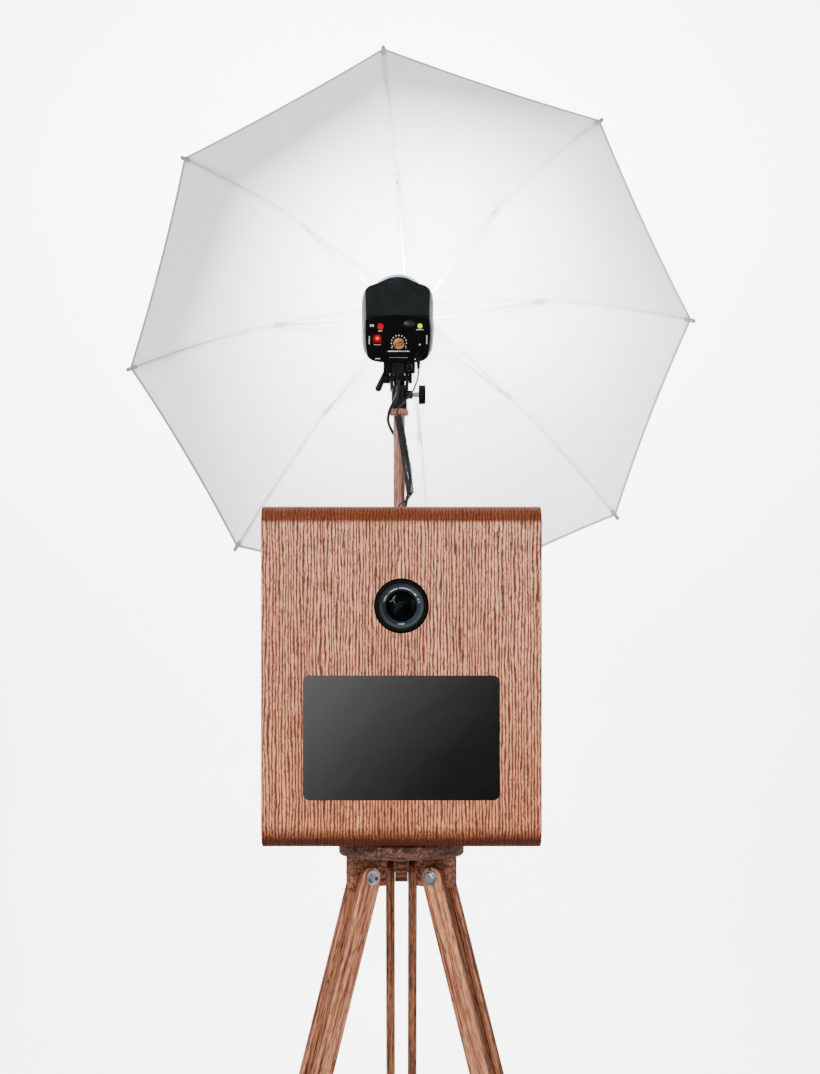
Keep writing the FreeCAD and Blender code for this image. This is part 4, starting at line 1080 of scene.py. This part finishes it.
def make_panel_details():
    """Light sensor's hood, slide switch, button and switch surrounds, screws and the jack's nut."""
    pieces = [sensor_hood(), black_blocks("slide_switch", SWITCH_TRACK)]
    for name, x, z, inner, outer, tall in PANEL_RINGS:
        outline = ((inner, -0.2), (inner, tall), (outer - 0.3, tall), (outer, tall - 0.3), (outer, -0.2))
        pieces.append(turned(name, outline, LAMP_FRAME @ on_panel(x, z), -ALONG, "black", 40))
    pieces.append(turned("jack_nut", NUT_OUTLINE, LAMP_FRAME @ on_panel(28.3, -42.2), -ALONG, "black", 32))
    pieces.append(black_blocks("switch_surround", SWITCH_SURROUND))
    out = lamp_way(Vector((0, -38, 22)).normalized()).normalized()
    for i, x in enumerate((-16.5, 18.0)):
        place = LAMP_FRAME @ (LAMP_AXIS + Vector((x, -15.6, 46.8)) * MM)
        pieces.append(turned(f"cover_screw_{i + 1}", SCREW_OUTLINE, place, out, "black", 24))
    for piece in pieces:
        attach(piece, "lamp")


def make_moving_details():
    """The dial's grip and pointer, the clamp screw's bright shank and the shaft's end cap."""
    place = LAMP_FRAME @ Matrix.Translation(LAMP_AXIS + Vector((DIAL_X, -43.2, DIAL_Z)) * MM)
    place = place @ Matrix.Rotation(math.radians(32), 4, "Y")
    grip = soft_box("dial_grip", (-1.5, -2.6, -6.4), (1.5, 0.4, 6.4), 0.7, "copper", place)
    pointer = soft_box("dial_pointer", (-0.35, -2.75, 1.0), (0.35, -2.5, 6.0), 0.1, "black", place, 1)
    for piece in (grip, pointer):
        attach(piece, "power_dial")
    knob = Vector(JOINTS["clamp_knob_turn"]["pos_m"])
    shank = turned("clamp_shank", SHANK_OUTLINE, Vector((15.6 * MM, knob.y, knob.z)), X_AXIS,
                   "steel", 28)
    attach(shank, "clamp_knob")
    cap = turned("shaft_cap", END_CAP_OUTLINE, lamp_point(14, -27, 22.7), -ALONG, "black", 32)
    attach(cap, "umbrella")


def make_bolt_sockets():
    """The hexagon socket and the raised ring on each leg bolt's head; the socket is a flat dark hexagon,
    painted shade in place of its recess.
    """
    for leg in LEGS:
        joint = JOINTS[leg + "_fold"]
        axis = Vector(joint["axis"]).normalized()
        face = Vector(joint["pos_m"]) + axis * BOLT_HEAD_REACH
        socket = turned(f"{leg}_socket", ((0, -0.5), (0, 0.12), (3.1, 0.12), (3.3, -0.5)), face, axis,
                        "socket", 6)
        ring = turned(f"{leg}_head_ring", ((4.6, -0.5), (4.7, 0.14), (5.2, 0.14), (5.3, -0.5)), face, axis,
                      "steel", 36)
        for polygon in socket.data.polygons:
            polygon.use_smooth = False
        for piece in (socket, ring):
            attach(piece, "tripod")


make_panel_print()
make_panel_details()
make_moving_details()
make_bolt_sockets()


# ---- stage ----

FLOOR_REACH, BACK, BACK_RISE, BACK_BEND = 9.0, 4.0, 8.0, 1.5
FLOOR_DROP = 0.0005
CARD_SIDE, CARD_Y, CARD_LOW, CARD_HIGH = 1.4, -3.5, 0.2, 2.4


def make_stage():
    """A pale floor and backdrop in one sweep, clear when seen from behind."""
    s = Shader("pale_floor", Roughness=0.85, Specular_IOR_Level=0.2)
    cloud = s.noise(s.place, 1.5, 3.0)
    s.colour(s.ramp(cloud, (0.3, 0.86), (0.7, 0.89)))
    clear = s.add("ShaderNodeBsdfTransparent")
    front = s.add("ShaderNodeNewGeometry").outputs["Backfacing"]
    s.mix_surfaces(front, clear.outputs["BSDF"], s.surface.outputs["BSDF"])
    start = BACK - BACK_BEND
    profile = [(-FLOOR_REACH, 0.0), (start, 0.0)]
    for i in range(1, 10):
        angle = math.radians(9 * i)
        profile.append((start + BACK_BEND * math.sin(angle), BACK_BEND - BACK_BEND * math.cos(angle)))
    profile += [(BACK, BACK_BEND), (BACK, BACK_RISE)]
    points = [(x, y, z - FLOOR_DROP) for y, z in profile for x in (-FLOOR_REACH, FLOOR_REACH)]
    faces = [(2 * i, 2 * i + 1, 2 * i + 3, 2 * i + 2) for i in range(len(profile) - 1)]
    MATERIALS["floor"] = s.material
    floor = mesh_piece("floor", points, faces, "floor")
    floor.visible_glossy = False


def make_card():
    """A grey card behind the camera, seen only in reflections: bright at its upper left."""
    s = Shader("reflection_card")
    height = s.vector("DOT_PRODUCT", s.place, (-1.1, 0, 1.0), "Value")
    fade = s.calculate("POWER", s.spread(height, 0.62, 1.62), 2.0)
    glow = s.add("ShaderNodeEmission", {"Strength": s.plus(s.times(fade, 3.4), 0.13)})
    s.connect(glow.outputs["Emission"], s.output.inputs["Surface"])
    s.tree.nodes.remove(s.surface)
    points = [(-CARD_SIDE, CARD_Y, CARD_LOW), (CARD_SIDE, CARD_Y, CARD_LOW),
              (CARD_SIDE, CARD_Y, CARD_HIGH), (-CARD_SIDE, CARD_Y, CARD_HIGH)]
    MATERIALS["card"] = s.material
    card = mesh_piece("reflection_card", points, [(0, 1, 2, 3)], "card")
    for ray in ("camera", "diffuse", "shadow", "transmission", "volume_scatter"):
        setattr(card, "visible_" + ray, False)


def area_light(name, place, target, size, power, colour):
    data = bpy.data.lights.new(name, "AREA")
    data.shape = "RECTANGLE"
    data.size, data.size_y = size
    data.energy = power
    data.color = colour
    light = link(name, data)
    light.location = place
    light.rotation_euler = (Vector(target) - Vector(place)).to_track_quat("-Z", "Y").to_euler()


def make_lights():
    world = bpy.data.worlds.new("studio")
    bpy.context.scene.world = world
    world.use_nodes = True
    sky = world.node_tree.nodes["Background"].inputs
    sky["Color"].default_value = (0.98, 0.99, 1.0, 1)
    sky["Strength"].default_value = 0.5
    middle = (0, 0, 1.35)
    area_light("key", (-1.7, -2.6, 2.9), middle, (1.6, 1.6), 165, (1.0, 0.98, 0.95))
    area_light("fill", (2.4, -2.2, 1.7), middle, (1.8, 1.8), 34, (0.95, 0.97, 1.0))
    area_light("back_wash", (0, 1.4, 3.6), (0, 4.0, 1.6), (3.0, 1.0), 950, (1.0, 1.0, 1.0))
    lamp_front = LAMP_FRAME @ (LAMP_AXIS + Y_AXIS * 96 * MM)
    target = lamp_front + ALONG + Vector((0.25, 0, -0.22))
    area_light("flash", lamp_front, target, (0.07, 0.07), 11.5, (1.0, 0.97, 0.93))


make_stage()
make_card()
make_lights()
